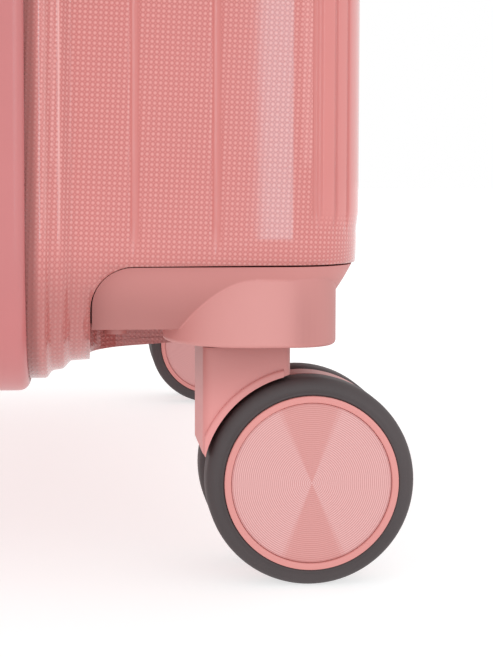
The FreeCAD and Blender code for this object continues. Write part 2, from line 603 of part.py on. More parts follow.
# ---------------------------------------------------------------- latches and lock
def make_latches():
    """Two sprung-over lever latches; returns their pins, their bodies and the lid's keepers."""
    pivot_x = HALF_WIDTH + LATCH_PIVOT_OUT
    half, ear, gap = LATCH_HALF_LENGTH, LATCH_EAR, LATCH_EAR_GAP
    tip = LATCH_PIVOT_Y - LATCH_REACH
    pins, bodies, keepers = [], [], []

    def along(radius, middle, reach):
        base = (pivot_x, LATCH_PIVOT_Y, middle - reach)
        return cylinder(radius, base, (0, 0, 1), 2 * reach)

    for name, place in (("upper", 1), ("lower", -1)):
        middle = MIDDLE_Z + place * LATCH_SPREAD
        span = half + gap + ear
        body = box((HALF_WIDTH, HALF_WIDTH + LATCH_PLATE), LATCH_PLATE_Y, (middle - span, middle + span))
        for low in (middle - span, middle + half + gap):
            body = body.fuse(box((HALF_WIDTH, pivot_x + 2.6), (LATCH_PIVOT_Y - 3.2, LATCH_PLATE_Y[1]),
                                 (low, low + ear)))
        bodies.append(body.removeSplitter().cut(along(LATCH_PIN_RADIUS, middle, span + 1)))
        pins.append(along(LATCH_PIN_RADIUS, middle, span))
        arm = box((pivot_x - 1.6, pivot_x + 2.2), (tip, LATCH_PIVOT_Y), (middle - half, middle + half))
        nose = box((HALF_WIDTH + KEEPER_HEIGHT + HOOK_CLEARANCE, pivot_x), (tip, tip + 1.9),
                   (middle - half + 3, middle + half - 3))
        lever = fuse(arm, along(LATCH_PIN_RADIUS + LATCH_BARREL_WALL, middle, half), nose)
        save(name + "_latch_lever", lever.cut(along(LATCH_PIN_RADIUS + RUNNING_CLEARANCE, middle, half + 1)))
        keepers.append(box((HALF_WIDTH, HALF_WIDTH + KEEPER_HEIGHT), (tip + 2.3, -1.5),
                           (middle - half + 2, middle + half - 2)))
    return pins, bodies, keepers


def lock_block(y):
    """One half of the lock's casing, with its outer edges rounded."""
    out = HALF_WIDTH + LOCK_HEIGHT
    block = box((HALF_WIDTH, out), y, (MIDDLE_Z - LOCK_HALF_LENGTH, MIDDLE_Z + LOCK_HALF_LENGTH))
    return block.makeFillet(LOCK_ROUNDING, edges_at(block, "x", out))


def make_lock():
    """Number dials and sliding button; returns the casing, the lid's half of it and the dials' shaft."""
    out = HALF_WIDTH + LOCK_HEIGHT
    shaft_x, shaft_y = HALF_WIDTH + DIAL_FLOOR + DIAL_RADIUS, DIAL_Y
    first = MIDDLE_Z - DIAL_START

    def about_shaft(radius, low, length):
        return cylinder(radius, (shaft_x, shaft_y, low), (0, 0, 1), length)

    shaft = about_shaft(DIAL_SHAFT_RADIUS, first - 4, (DIAL_COUNT - 1) * DIAL_PITCH + 8)
    cuts = [shaft]
    for index in range(DIAL_COUNT):
        low = first + index * DIAL_PITCH - DIAL_THICKNESS / 2
        cuts.append(about_shaft(DIAL_RADIUS + DIAL_GAP, low - DIAL_GAP, DIAL_THICKNESS + 2 * DIAL_GAP))
        ring = about_shaft(DIAL_RADIUS, low, DIAL_THICKNESS)
        bore = about_shaft(DIAL_SHAFT_RADIUS + RUNNING_CLEARANCE, low - 1, DIAL_THICKNESS + 2)
        save("lock_dial_%d" % (index + 1), ring.cut(bore))
    low = MIDDLE_Z + LOCK_SLOT_START
    gap = 0.5
    width = (DIAL_Y - LOCK_BUTTON[0] / 2, DIAL_Y + LOCK_BUTTON[0] / 2)
    cuts.append(box((out - 2.0, out + 1), (width[0] - 0.3, width[1] + 0.3),
                    (low, low + LOCK_BUTTON[1] + LOCK_TRAVEL + 2 * gap)))
    button = box((out - 1.7, out + 1.6), width, (low + gap, low + gap + LOCK_BUTTON[1]))
    save("lock_button", button.makeFillet(0.7, button.Edges))
    return lock_block(LOCK_BASE_Y).cut(Part.makeCompound(cuts)), lock_block(LOCK_LID_Y), shaft


# ---------------------------------------------------------------- feet
def make_feet():
    """Turned feet on the hinge side; the case lies on them with its side handle up."""
    tip = -HALF_WIDTH - STANDOUT
    for half, label in ((1, "base"), (-1, "lid")):
        feet = []
        for place in (-1, 1):
            z = MIDDLE_Z + place * FOOT_SPREAD[label]
            root = -HALF_WIDTH + wall_inset(FOOT_Y) + 1.1
            foot = Part.makeCone(FOOT_TIP_RADIUS, FOOT_BASE_RADIUS, root - tip,
                                 Vector(tip, FOOT_Y, z), Vector(1, 0, 0))
            foot = foot.makeFillet(1.5, edges_at(foot, "x", tip))
            foot = foot.cut(mirrored(wall_side_solid("side"), (1, 0, 0)))
            feet.append(foot if half > 0 else mirrored(foot, (0, 1, 0)))
        save(label + "_side_feet", *feet)


# ---------------------------------------------------------------- carry handles
def carry_handle(top):
    """A carry handle of height top, lying along X on the plane z = 0: its two end mounts and its grip."""
    half, depth = HANDLE_LENGTH / 2, HANDLE_WIDTH / 2
    channel = depth + HANDLE_CLEARANCE
    mounts = []
    for side in (-1, 1):
        block = box((half - MOUNT_LENGTH, half), (-channel - MOUNT_WALL, channel + MOUNT_WALL), (-4.0, top))
        rounded = [e for e in block.Edges if abs(e.CenterOfMass.x - half) < 0.01 and e.CenterOfMass.z > -3.9]
        block = block.makeFillet(5.0, rounded)
        space = box((half - MOUNT_LENGTH - 1, half - MOUNT_WALL), (-channel, channel), (2.5, top + 5))
        mount = block.cut(space)
        mounts.append(mount if side > 0 else mount.mirror(Vector(0, 0, 0), Vector(1, 0, 0)))
    reach = half - MOUNT_WALL - HANDLE_CLEARANCE
    bar = box((-reach, reach), (-depth, depth), (top - HANDLE_THICKNESS, top))
    bar = bar.makeFillet(3.0, [e for e in bar.Edges if abs(e.Vertexes[0].X - e.Vertexes[1].X) > 1])
    legs = [box((side * reach - (10 if side > 0 else 0), side * reach + (0 if side > 0 else 10)),
                (-depth + 3, depth - 3), (2.9, top - HANDLE_THICKNESS + 2)) for side in (-1, 1)]
    return mounts, fuse(bar, *legs)


def make_carry_handles():
    top_z = FRAME_TOP - wall_inset(HANDLE_Y)
    side_x = HALF_WIDTH - wall_inset(HANDLE_Y)
    to_top = FreeCAD.Placement(Vector(0, HANDLE_Y, top_z), FreeCAD.Rotation())
    to_side = FreeCAD.Placement(Vector(side_x, HANDLE_Y, MIDDLE_Z),
                                FreeCAD.Rotation(Vector(0, 1, 0), 90))
    placed = []
    for name, place, height in (("top", to_top, TOP_HANDLE_STANDOUT),
                                ("side", to_side, HALF_WIDTH + STANDOUT - side_x)):
        mounts, grip = carry_handle(height)
        inside = wall_side_solid(name)
        for mount in mounts:
            moved = mount.copy()
            moved.Placement = place.multiply(moved.Placement)
            placed.append(moved.cut(inside))
        moved = grip.copy()
        moved.Placement = place.multiply(moved.Placement)
        save(name + "_handle_grip", moved)
    return placed


def wall_side_solid(name):
    """Everything on the case's side of the leaning wall that a carry handle stands on."""
    start, end = WALL_START_Y - 5, EDGE_CENTRE_Y
    if name == "top":
        points = [Vector(-HALF_WIDTH, start, FRAME_TOP - wall_inset(start)),
                  Vector(-HALF_WIDTH, end, FRAME_TOP - wall_inset(end)),
                  Vector(-HALF_WIDTH, end, 0), Vector(-HALF_WIDTH, start, 0)]
        return wire_face(points).extrude(Vector(FRAME_WIDTH, 0, 0))
    points = [Vector(HALF_WIDTH - wall_inset(start), start, 0), Vector(HALF_WIDTH - wall_inset(end), end, 0),
              Vector(0, end, 0), Vector(0, start, 0)]
    return wire_face(points).extrude(Vector(0, 0, FRAME_TOP))


# ---------------------------------------------------------------- trolley handle
def make_trolley(shell):
    """Three tube stages, foot bracket, bezel, grip and its button, in the base shell."""
    half = TUBE_SPACING / 2
    outer_top = BEZEL_TOP - 5.0
    middle_top = BEZEL_TOP - 1.0
    stages = {"outer": [], "middle": [], "inner": []}
    for x in (-half, half):
        bottom = OUTER_TUBE_BOTTOM
        stages["outer"].append(tube(OUTER_TUBE, TUBE_WALL, x, TUBE_Y, bottom, outer_top))
        bottom += MIDDLE_TUBE_LIFT
        stages["middle"].append(tube(MIDDLE_TUBE, TUBE_WALL, x, TUBE_Y, bottom, middle_top))
        bottom += MIDDLE_TUBE_LIFT
        stages["inner"].append(tube(INNER_TUBE, TUBE_WALL, x, TUBE_Y, bottom, GRIP_BOTTOM + 12.0))
    for name, tubes in stages.items():
        save("trolley_" + name + "_tubes", *tubes)

    seat = 12.0
    bracket = box((-half - 16, half + 16), (TUBE_Y - 10, TUBE_Y + 10),
                  (OUTER_TUBE_BOTTOM - 4.0, OUTER_TUBE_BOTTOM + seat))
    pads = [box((x - 14, x + 14), (TUBE_Y - 10, TUBE_Y + 10), (OUTER_TUBE_BOTTOM - 9.0, OUTER_TUBE_BOTTOM))
            for x in (-half, half)]
    sockets = [tube_space(OUTER_TUBE, 0.0, x, OUTER_TUBE_BOTTOM, OUTER_TUBE_BOTTOM + seat + 1)
               for x in (-half, half)]
    foot = fuse(bracket, *pads).cut(Part.makeCompound(sockets + [shell]))
    save("trolley_foot_bracket", max(foot.Solids, key=lambda solid: solid.Volume))

    bezel = box((-BEZEL_HALF_LENGTH, BEZEL_HALF_LENGTH), BEZEL_Y, (BEZEL_BOTTOM, BEZEL_TOP))
    bezel = bezel.makeFillet(4.0, edges_along(bezel, "z"))
    bezel = bezel.makeFillet(2.0, edges_at(bezel, "z", BEZEL_TOP))
    ways = []
    for x in (-half, half):
        ways.append(tube_space(OUTER_TUBE, 0.0, x, BEZEL_BOTTOM - 1, outer_top))
        ways.append(tube_space(MIDDLE_TUBE, TUBE_CLEARANCE, x, BEZEL_BOTTOM - 1, BEZEL_TOP + 1))
    hollow = box((-half + 14, half - 14), (BEZEL_Y[0] + 3, BEZEL_Y[1] - 3),
                 (BEZEL_BOTTOM - 1, BEZEL_TOP - 9))
    save("trolley_bezel", bezel.cut(Part.makeCompound(ways + [hollow])))

    depth = GRIP_DEPTH / 2
    across = (TUBE_Y - depth, TUBE_Y + depth)
    grip = box((-GRIP_HALF_LENGTH, GRIP_HALF_LENGTH), across, (GRIP_BOTTOM, GRIP_TOP))
    grip = grip.makeFillet(7.0, edges_along(grip, "z"))
    grip = grip.makeFillet(3.5, edges_at(grip, "z", GRIP_BOTTOM) + edges_at(grip, "z", GRIP_TOP))
    sockets = [tube_space(INNER_TUBE, 0.0, x, GRIP_BOTTOM - 1, GRIP_BOTTOM + 12.0) for x in (-half, half)]
    floor = GRIP_TOP - BUTTON_STANDOUT - BUTTON_TRAVEL - BUTTON_DEPTH
    pocket = tube_space(BUTTON_SIZE, BUTTON_GAP, 0.0, floor, GRIP_TOP + 1)
    scoop_top = GRIP_BOTTOM + 6
    scoop = box((-half + 16, half - 16), (across[0] - 1, across[1] + 1), (GRIP_BOTTOM - 1, scoop_top))
    scoop = scoop.makeFillet(5.0, [e for e in edges_at(scoop, "z", scoop_top) if e.BoundBox.XLength < 1])
    save("trolley_grip", grip.cut(Part.makeCompound(sockets + [pocket, scoop])))

    button_top = GRIP_TOP + BUTTON_STANDOUT
    button = tube_space(BUTTON_SIZE, 0.0, 0.0, floor + BUTTON_TRAVEL + 0.5, button_top)
    save("trolley_button", button.makeFillet(1.0, edges_at(button, "z", button_top)))


def tube_space(size, clearance, x, z_low, z_high):
    """The upright square-cornered space of a tube or button, with its clearance each side."""
    width, depth = size[0] / 2 + clearance, size[1] / 2 + clearance
    return box((x - width, x + width), (TUBE_Y - depth, TUBE_Y + depth), (z_low, z_high))


# ---------------------------------------------------------------- lining, divider and straps
def lining(depth, edge_radius):
    """Fabric tray inside one half: walls, floor and covers over the two wheel housings."""
    margin = 3.0

    def tray(grow):
        start = LINING_START - (1 if grow else 0)
        block = inner_block(LINING_INSET + grow, start, depth - grow)
        far = [e for e in block.Edges if abs(e.CenterOfMass.y - (depth - grow)) < 0.01]
        block = block.makeFillet(edge_radius - grow, far)
        corner = box((HOUSING_START_X - margin - grow, HALF_WIDTH),
                     (HOUSING_START_Y - margin - grow, HALF_DEPTH + 5), (0, HOUSING_TOP + margin + grow))
        return block.cut(Part.makeCompound(at_both_sides(corner)))

    return tray(0).cut(tray(LINING_THICKNESS))


def make_lining():
    save("base_lining", lining(BASE_LINING_DEPTH, 6.0))
    save("lid_lining", mirrored(lining(EDGE_CENTRE_Y + LINING_RADIUS, LINING_RADIUS), (0, 1, 0)))
    save("divider_panel", inner_block(DIVIDER_INSET, *DIVIDER_Y))
    straps = []
    reach = HALF_WIDTH - LINING_INSET - 2
    for turn, y in ((32.0, 4.0), (-32.0, 6.0)):
        length = 2 * reach / math.cos(math.radians(turn))
        strap = box((-length / 2, length / 2), (y - STRAP_THICKNESS / 2, y + STRAP_THICKNESS / 2),
                    (-STRAP_WIDTH / 2, STRAP_WIDTH / 2))
        strap.rotate(Vector(0, 0, 0), Vector(0, 1, 0), turn)
        strap.translate(Vector(0, 0, MIDDLE_Z))
        straps.append(strap.common(box((-reach, reach), (0, 20), (FLOOR_TO_FRAME, FRAME_TOP))))
    save("packing_straps", *straps)


# ---------------------------------------------------------------- build
trolley_shell = make_shells()
make_frames()
make_casters()
hinge_pins = make_hinges()
latch_pins, latch_bodies, latch_keepers = make_latches()
lock_body, lock_keeper, dial_shaft = make_lock()
save("pivot_pins", *(hinge_pins + latch_pins + [dial_shaft]))
save("latch_bodies", *(latch_bodies + [lock_body]))
save("latch_keepers", *(latch_keepers + [lock_keeper]))
make_feet()
save("carry_handle_mounts", *make_carry_handles())
make_trolley(trolley_shell)
make_lining()
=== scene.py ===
# %% [markdown]
# # A hard-shell cabin suitcase
# The suitcase has two moulded half shells, each held in a metal closing frame. One half carries the
# telescopic handle; the other swings open on hinges. Four casters with two wheels each carry it.
# The hard parts arrive from the CAD model, already in place. This script gives every one its finish, and it
# rebuilds the pieces whose surface matters most: shells, frames, wheels, lining, straps.

# %% Load the suitcase
import json
import math

import bmesh
import bpy
from mathutils import Euler, Matrix, Vector


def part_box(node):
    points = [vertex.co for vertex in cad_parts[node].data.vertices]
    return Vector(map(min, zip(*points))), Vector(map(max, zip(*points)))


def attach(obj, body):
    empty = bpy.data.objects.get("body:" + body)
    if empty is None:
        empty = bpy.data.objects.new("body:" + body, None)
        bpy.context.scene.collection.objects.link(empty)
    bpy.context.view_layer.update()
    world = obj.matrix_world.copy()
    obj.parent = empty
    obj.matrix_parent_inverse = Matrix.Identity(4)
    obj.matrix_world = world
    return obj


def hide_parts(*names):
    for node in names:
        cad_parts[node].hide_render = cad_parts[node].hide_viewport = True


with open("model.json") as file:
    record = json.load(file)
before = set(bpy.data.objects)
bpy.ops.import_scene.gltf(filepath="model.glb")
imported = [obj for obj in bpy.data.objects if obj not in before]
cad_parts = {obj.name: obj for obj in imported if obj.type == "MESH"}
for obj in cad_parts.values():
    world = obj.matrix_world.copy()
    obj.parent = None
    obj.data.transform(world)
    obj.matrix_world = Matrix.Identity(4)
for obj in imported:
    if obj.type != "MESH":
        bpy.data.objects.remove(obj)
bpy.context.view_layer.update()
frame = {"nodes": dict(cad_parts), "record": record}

MM = 0.001

# %% [markdown]
# ## Sizes read from the frame
# Everything below hangs on a few measured boxes. The closing frame gives the outline of the case, the shell gives
# how far its rim sits inside that outline, and the wheels give their own centres.

# %% Measure the case
def corners_of(node):
    """The low and the high corner of a CAD node's box."""
    return tuple(Vector(corner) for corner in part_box(node))


base_frame_low, base_frame_high = corners_of("base_frame")
shell_high = corners_of("base_shell")[1]
HALF_WIDTH = base_frame_high.x
CASE_LOW, CASE_HIGH = base_frame_low.z, base_frame_high.z
MIDDLE_Z = (CASE_LOW + CASE_HIGH) / 2
HALF_HEIGHT = (CASE_HIGH - CASE_LOW) / 2
HALF_DEPTH = shell_high.y
CORNER = 40 * MM                       # outside radius of the case's corners
CASTER_TRAIL = 15.5 * MM               # how far the axle sits behind the swivel
wheel_box, fork_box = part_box("back_right_outer_tyre"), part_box("back_right_fork")
SWIVEL = Vector(((fork_box[0][0] + fork_box[1][0]) / 2,
                 (wheel_box[0][1] + wheel_box[1][1]) / 2 - CASTER_TRAIL, 0.0))
RIM_INSET = HALF_WIDTH - shell_high.x  # frame's outside to the shell's rim
print("case %.0f x %.0f mm, half %.0f mm deep" % (2000 * HALF_WIDTH, 2000 * HALF_HEIGHT, 1000 * HALF_DEPTH))

# %% [markdown]
# ## Shader maths as plain expressions
# A node tree is easier to read when it looks like a formula. `Sock` wraps one output socket; adding, multiplying
# or dividing them adds the Math node that does it. `Finish` is one material: it adds any other node with one method
# and ends in a Principled shader.

# %% Socket arithmetic
class Sock:
    """One output of a node, which answers to + - * / and a few named functions."""

    def __init__(self, finish, socket):
        self.finish, self.socket = finish, socket

    def _math(self, operation, *others):
        return self.finish.add("ShaderNodeMath", {"operation": operation}, self, *others)

    def __add__(self, other):
        return self._math("ADD", other)

    def __radd__(self, other):
        return self._math("ADD", other)

    def __sub__(self, other):
        return self._math("SUBTRACT", other)

    def __rsub__(self, other):
        return self.finish.add("ShaderNodeMath", {"operation": "SUBTRACT"}, other, self)

    def __mul__(self, other):
        return self._math("MULTIPLY", other)

    def __rmul__(self, other):
        return self._math("MULTIPLY", other)

    def __truediv__(self, other):
        return self._math("DIVIDE", other)

    def sine(self):
        return self._math("SINE")

    def root(self):
        return self._math("SQRT")

    def fract(self):
        return self._math("FRACT")

    def absolute(self):
        return self._math("ABSOLUTE")

    def smooth(self, low, high):
        """0 below low, 1 above high, and a smooth climb between."""
        settings = {"interpolation_type": "SMOOTHSTEP"}
        return self.finish.add("ShaderNodeMapRange", settings, self, low, high, 0.0, 1.0)

    def line(self, centre, width):
        """1 at centre, falling smoothly to 0 at width on either side."""
        return 1 - (self - centre).absolute().smooth(0.0, width)


class Finish:
    """A procedural material, from its Principled shader backwards."""

    def __init__(self, name, color, roughness, **uniform):
        self.material = bpy.data.materials.new(name)
        self.material.use_nodes = True
        self.tree = self.material.node_tree
        self.shader = self.tree.nodes["Principled BSDF"]
        self.put("Base Color", (*color, 1.0))
        self.put("Roughness", roughness)
        for socket, value in uniform.items():
            self.put(socket.replace("_", " "), value)

    def put(self, socket, value):
        """Sets or links one socket of the Principled shader."""
        self.feed(self.shader.inputs[socket], value)

    def feed(self, target, value):
        """Links a Sock to an input, or sets the input to a plain value."""
        if isinstance(value, Sock):
            self.tree.links.new(value.socket, target)
        else:
            target.default_value = value

    def node(self, kind, settings, *inputs, **named):
        """Any node: its type, its settings, then the values or links of its inputs, in order or by name."""
        made = self.tree.nodes.new(kind)
        for key, value in settings.items():
            setattr(made, key, value)
        for target, value in zip([s for s in made.inputs if s.enabled], inputs):
            self.feed(target, value)
        for name, value in named.items():
            self.feed(made.inputs[name], value)
        return [Sock(self, s) for s in made.outputs if s.enabled]

    def add(self, kind, settings, *inputs, output=0):
        """The same, for a node of which one output is used."""
        return self.node(kind, settings, *inputs)[output]

    def mix(self, factor, first, second):
        """A colour between two colours."""
        return self.add("ShaderNodeMix", {"data_type": "RGBA"}, factor, first, second)

    def place(self):
        """Object coordinates, in metres."""
        return self.add("ShaderNodeTexCoord", {}, output=3)

    def split(self, vector):
        """The x, y and z of a vector."""
        return self.node("ShaderNodeSeparateXYZ", {}, vector)

    def noise(self, scale, detail=3.0):
        """Soft noise on object coordinates, from 0 to 1."""
        return self.add("ShaderNodeTexNoise", {}, self.place(), scale, detail)

    def bump(self, height, strength, distance):
        """Feeds a height, in units of distance, to the shader's normal."""
        self.put("Normal", self.node("ShaderNodeBump", {}, Strength=strength, Distance=distance, Height=height)[0])


def srgb(red, green, blue):
    """A colour written as 0 to 255, in the linear values that shaders use."""
    def linear(value):
        value /= 255
        return value / 12.92 if value <= 0.04045 else ((value + 0.055) / 1.055) ** 2.4
    return tuple(linear(v) for v in (red, green, blue))


def paint(*levels):
    """The same colour with an alpha, as the colour sockets of other nodes want it."""
    return (*srgb(*levels), 1)


PINK = srgb(214, 126, 122)
print("shell colour", tuple(round(c, 3) for c in PINK))

# %% [markdown]
# ## The shell's raised dots
# The shells are moulded with a fine lattice of domes, about 1.3 mm apart, that hides scratches. Hundreds of thousands
# of domes would be far too heavy as geometry, so the lattice is drawn in the material from the shell's own UV map,
# which is measured in metres along the surface. Smooth strips (grooves, corner rails) carry a `smooth` attribute.

# %% Dotted polycarbonate
DOT_PITCH = (1.30 * MM, 1.27 * MM)
DOT_RADIUS = 0.48 * MM
DOT_HEIGHT = 0.17 * MM
LATTICE_TILT = math.radians(2.6)
FACE_SHIFT = 770 * DOT_PITCH[0]        # lays the flat faces' UVs well away from the walls', on the same lattice
# Painted shadow in a strip beside the frame, where the frame's edge shades the shell; it ends between these distances
# down the section.
FRAME_SHADE = (11.2 * MM, 13.4 * MM)   # down the section: where the dark strip beside the frame ends
# Painted highlights on the two shoulder bends: place down the section, half width and strength; they fade out below the
# next two heights.
SHOULDER_HIGHLIGHTS = ((14.8 * MM, 1.3 * MM, 0.25), (18.8 * MM, 0.45 * MM, 0.5))   # place, half width, strength
SHOULDER_LINES_END = (84 * MM, 100 * MM)
# Painted shade towards the shell's lower edge, which faces down; it fades out between these heights.
UNDERSIDE_SHADE = (74 * MM, 92 * MM)      # heights between which the lower edge's deeper colour fades out

def dot_lattice(finish, across, along):
    """Distance from the nearest dot's centre, on a lattice tilted a little."""
    cosine, sine = math.cos(LATTICE_TILT), math.sin(LATTICE_TILT)
    column = ((across * cosine - along * sine) / DOT_PITCH[0]).fract() - 0.5
    row = ((across * sine + along * cosine) / DOT_PITCH[1]).fract() - 0.5
    return (column * column * DOT_PITCH[0] ** 2 + row * row * DOT_PITCH[1] ** 2).root()


def dotted_shell():
    """Glossy pink plastic with domes, painted highlights on the dome tops and painted shade rings round them, painted
    highlights on the shoulders, painted shadow beside the frame and painted shade near the bottom.
    """
    finish = Finish("dotted_polycarbonate", PINK, 0.2, Specular_IOR_Level=0.25, Coat_Weight=0.8, Coat_Roughness=0.05)
    across, along, _ = finish.split(finish.add("ShaderNodeUVMap", {"uv_map": "surface"}))
    height = finish.split(finish.place())[2]
    radius = dot_lattice(finish, across, along)
    textured = 1 - finish.add("ShaderNodeAttribute", {"attribute_name": "smooth"}, output=2)
    # Painted highlight on each dome's top, and a painted shade ring round its foot.
    dome = (1 - radius.smooth(0.15 * DOT_RADIUS, 1.1 * DOT_RADIUS)) * textured
    ring = (1 - (radius / DOT_RADIUS - 1.25).absolute().smooth(0.0, 0.4)) * textured
    body = finish.mix(finish.noise(9.0, 2.0).smooth(0.3, 0.7), paint(209, 125, 121), paint(213, 129, 125))
    lit_tops = finish.mix(dome * 0.6, body, paint(236, 166, 161))
    dotted = finish.mix(ring * 0.55, lit_tops, paint(178, 90, 87))
    # Painted highlights along the shoulders' bends, fading out towards the bottom.
    (first, first_width, first_share), (second, second_width, second_share) = SHOULDER_HIGHLIGHTS
    bend_highlights = across.line(first, first_width) * first_share + across.line(second, second_width) * second_share
    with_highlights = finish.mix(bend_highlights * height.smooth(*SHOULDER_LINES_END), dotted, paint(240, 186, 182))
    # Painted shade, deeper towards the bottom of the shell.
    low = finish.mix((1 - height.smooth(*UNDERSIDE_SHADE)) * 0.6, with_highlights, paint(172, 102, 98))
    # Painted shadow beside the frame.
    frame_shadow = (1 - across.smooth(*FRAME_SHADE)) * 0.9
    finish.put("Base Color", finish.mix(frame_shadow, low, paint(150, 76, 72)))
    grain = finish.noise(1800.0, 2.0)
    finish.put("Roughness", 0.17 + textured * 0.05 + grain * 0.05)
    finish.bump(dome + grain * 0.03, 0.8, DOT_HEIGHT)
    return finish.material


shell_finish = dotted_shell()
print("dot lattice", [round(p / MM, 2) for p in DOT_PITCH], "mm")

# %% [markdown]
# ## The other hard finishes
# Satin mouldings share one recipe: the pigment varies a little from place to place, and a very fine grain breaks up
# the gloss, as on any textured injection mould. Metals get the same with metallic on.

# %% Mouldings, enamel, rubber and metals
def moulded(name, color, roughness, grain_size=0.5 * MM, depth=0.012 * MM, shade=0.05, **uniform):
    """A satin moulding: faint clouds in the colour, fine grain in gloss and surface."""
    finish = Finish(name, color, roughness, **uniform)
    darker = tuple(c * (1 - shade) for c in color)
    lighter = tuple(min(1.0, c * (1 + shade)) for c in color)
    cloud = finish.noise(22.0, 3.0)
    finish.put("Base Color", finish.mix(cloud.smooth(0.35, 0.65), (*darker, 1), (*lighter, 1)))
    grain = finish.noise(1 / grain_size, 2.0)
    finish.put("Roughness", roughness - 0.05 + grain * 0.1)
    finish.bump(grain, 0.6, depth)
    return finish.material


BOSS_OUTLINE = 22.5 * MM               # the swivel boss's radius, and its reach along each axis at the corner
# Painted highlight on the lit side of each swivel boss: it fades out between these distances past the swivel.
BOSS_HIGHLIGHT_REACH = (2 * MM, 24 * MM)         # past the swivel: where the boss's lighter colour ends
# Painted shade on the housings: darker towards their lower edge, which faces down, fading out between these heights.
HOUSING_SHADE = (70 * MM, 86 * MM)
# Painted shadow on the forks' tops under the bosses: the forks darken upwards between these heights.
FORK_SHADE = (42 * MM, 62 * MM)

def outside_boss(x, y):
    """1 outside the boss of a swivel, 0 on it, where the boss's painted highlight goes: it is round, with one corner
    nearly square.
    """
    out_x, out_y = x.absolute() - SWIVEL.x, y.absolute() - SWIVEL.y
    square_x, square_y = out_x * out_x, out_y * out_y
    beyond_round = (square_x + square_y).root().smooth(BOSS_OUTLINE, BOSS_OUTLINE + 0.5 * MM)
    beyond_corner = (square_x * square_x + square_y * square_y).root().root().smooth(
        BOSS_OUTLINE, BOSS_OUTLINE + 0.6 * MM)
    in_corner = out_x.smooth(-0.1 * MM, 0.1 * MM) * out_y.smooth(-0.1 * MM, 0.1 * MM)
    return beyond_round * (1 - in_corner * (1 - beyond_corner))


def graded_moulding(name, heights, colors, roughness, boss=None):
    """A satin moulding with painted shade that changes between two heights; boss is a painted highlight colour round
    the swivels.
    """
    finish = Finish(name, colors[0], roughness)
    x, y, z = finish.split(finish.place())
    # Painted shade: the colour runs from the first to the second between the two heights.
    body = finish.mix(z.smooth(*heights), (*colors[0], 1), (*colors[1], 1))
    # Painted highlight on the lit bosses, fading out past the swivel.
    if boss:
        shade = y.absolute().smooth(SWIVEL.y + BOSS_HIGHLIGHT_REACH[0], SWIVEL.y + BOSS_HIGHLIGHT_REACH[1])
        lit = finish.mix(shade * 0.75, (*boss, 1), (*colors[0], 1))
        body = finish.mix((1 - outside_boss(x, y)) * 0.85, body, lit)
    cloud = finish.noise(22.0).smooth(0.35, 0.65)
    finish.put("Base Color", finish.mix(cloud * 0.12, body, paint(214, 146, 141)))
    grain = finish.noise(2800.0, 2.0)
    finish.put("Roughness", roughness - 0.06 + grain * 0.12)
    finish.bump(grain, 0.6, 0.02 * MM)
    return finish.material


# Housings: painted shade darkens their lower edge, and a painted highlight lightens the bosses.
housing_finish = graded_moulding("housing_moulding", HOUSING_SHADE, (srgb(178, 114, 110), srgb(200, 130, 126)),
                                 0.5, srgb(214, 147, 143))
# Forks: painted shadow darkens their tops under the bosses.
fork_finish = graded_moulding("fork_moulding", FORK_SHADE, (srgb(222, 146, 143), srgb(178, 114, 110)), 0.45)
frame_finish = moulded("frame_enamel", srgb(196, 116, 116), 0.32, 0.4 * MM, 0.006 * MM, 0.03, Coat_Weight=0.15)
tyre_finish = moulded("tyre_rubber", srgb(69, 60, 61), 0.62, 0.6 * MM, 0.05 * MM, 0.12)
hub_finish = moulded("hub_rim", srgb(216, 142, 137), 0.3, shade=0.02)
grip_finish = moulded("grip_moulding", srgb(212, 132, 130), 0.42)
gasket_finish = moulded("gasket_rubber", srgb(52, 47, 47), 0.7)
steel_finish = moulded("plated_steel", srgb(190, 190, 192), 0.28, Metallic=1.0)
rose_metal = moulded("rose_plating", srgb(226, 158, 148), 0.25, 0.3 * MM, 0.004 * MM, Metallic=1.0)
tube_finish = moulded("anodised_tube", srgb(205, 198, 197), 0.34, 0.25 * MM, 0.004 * MM, Metallic=1.0)
print("finishes:", len(bpy.data.materials))

# %% [markdown]
# ## Small steps that every piece shares
# Most pieces are built face by face with `bmesh`, Blender's mesh editor for scripts, and end the same way: faces turned
# outwards, shaded smooth and stored. `evaluated_mesh` is the other way to a mesh: it keeps what modifiers, nodes or
# lettering make.

# %% Mesh and piece helpers
def finished_mesh(work, name, outwards=True, smooth=True):
    """Stores a bmesh as mesh data, with its faces turned outwards and shaded smooth."""
    if outwards:
        bmesh.ops.recalc_face_normals(work, faces=work.faces)
    if smooth:
        for face in work.faces:
            face.smooth = True
    data = bpy.data.meshes.new(name)
    work.to_mesh(data)
    work.free()
    return data


def box_between(low, high):
    """A bmesh box between two corners."""
    work = bmesh.new()
    bmesh.ops.create_cube(work, size=1.0)
    for vert in work.verts:
        vert.co = Vector((low[i] if vert.co[i] < 0 else high[i]) for i in range(3))
    return work


def join_rows(work, here, there, ring=True):
    """Faces between two rows of points; a ring's last point joins its first."""
    for i in range(len(here) if ring else len(here) - 1):
        j = (i + 1) % len(here)
        work.faces.new((here[i], here[j], there[j], there[i]))


def add_object(name, data):
    """A new object in the scene."""
    thing = bpy.data.objects.new(name, data)
    bpy.context.scene.collection.objects.link(thing)
    return thing


def evaluated_mesh(piece):
    """What an object's modifiers or lettering make, as a plain mesh."""
    bpy.context.view_layer.update()
    evaluated = piece.evaluated_get(bpy.context.evaluated_depsgraph_get())
    return bpy.data.meshes.new_from_object(evaluated)


def apply_modifiers(piece):
    """Turns what the modifiers make into the piece's own plain mesh."""
    data = evaluated_mesh(piece)
    piece.modifiers.clear()
    piece.data = data


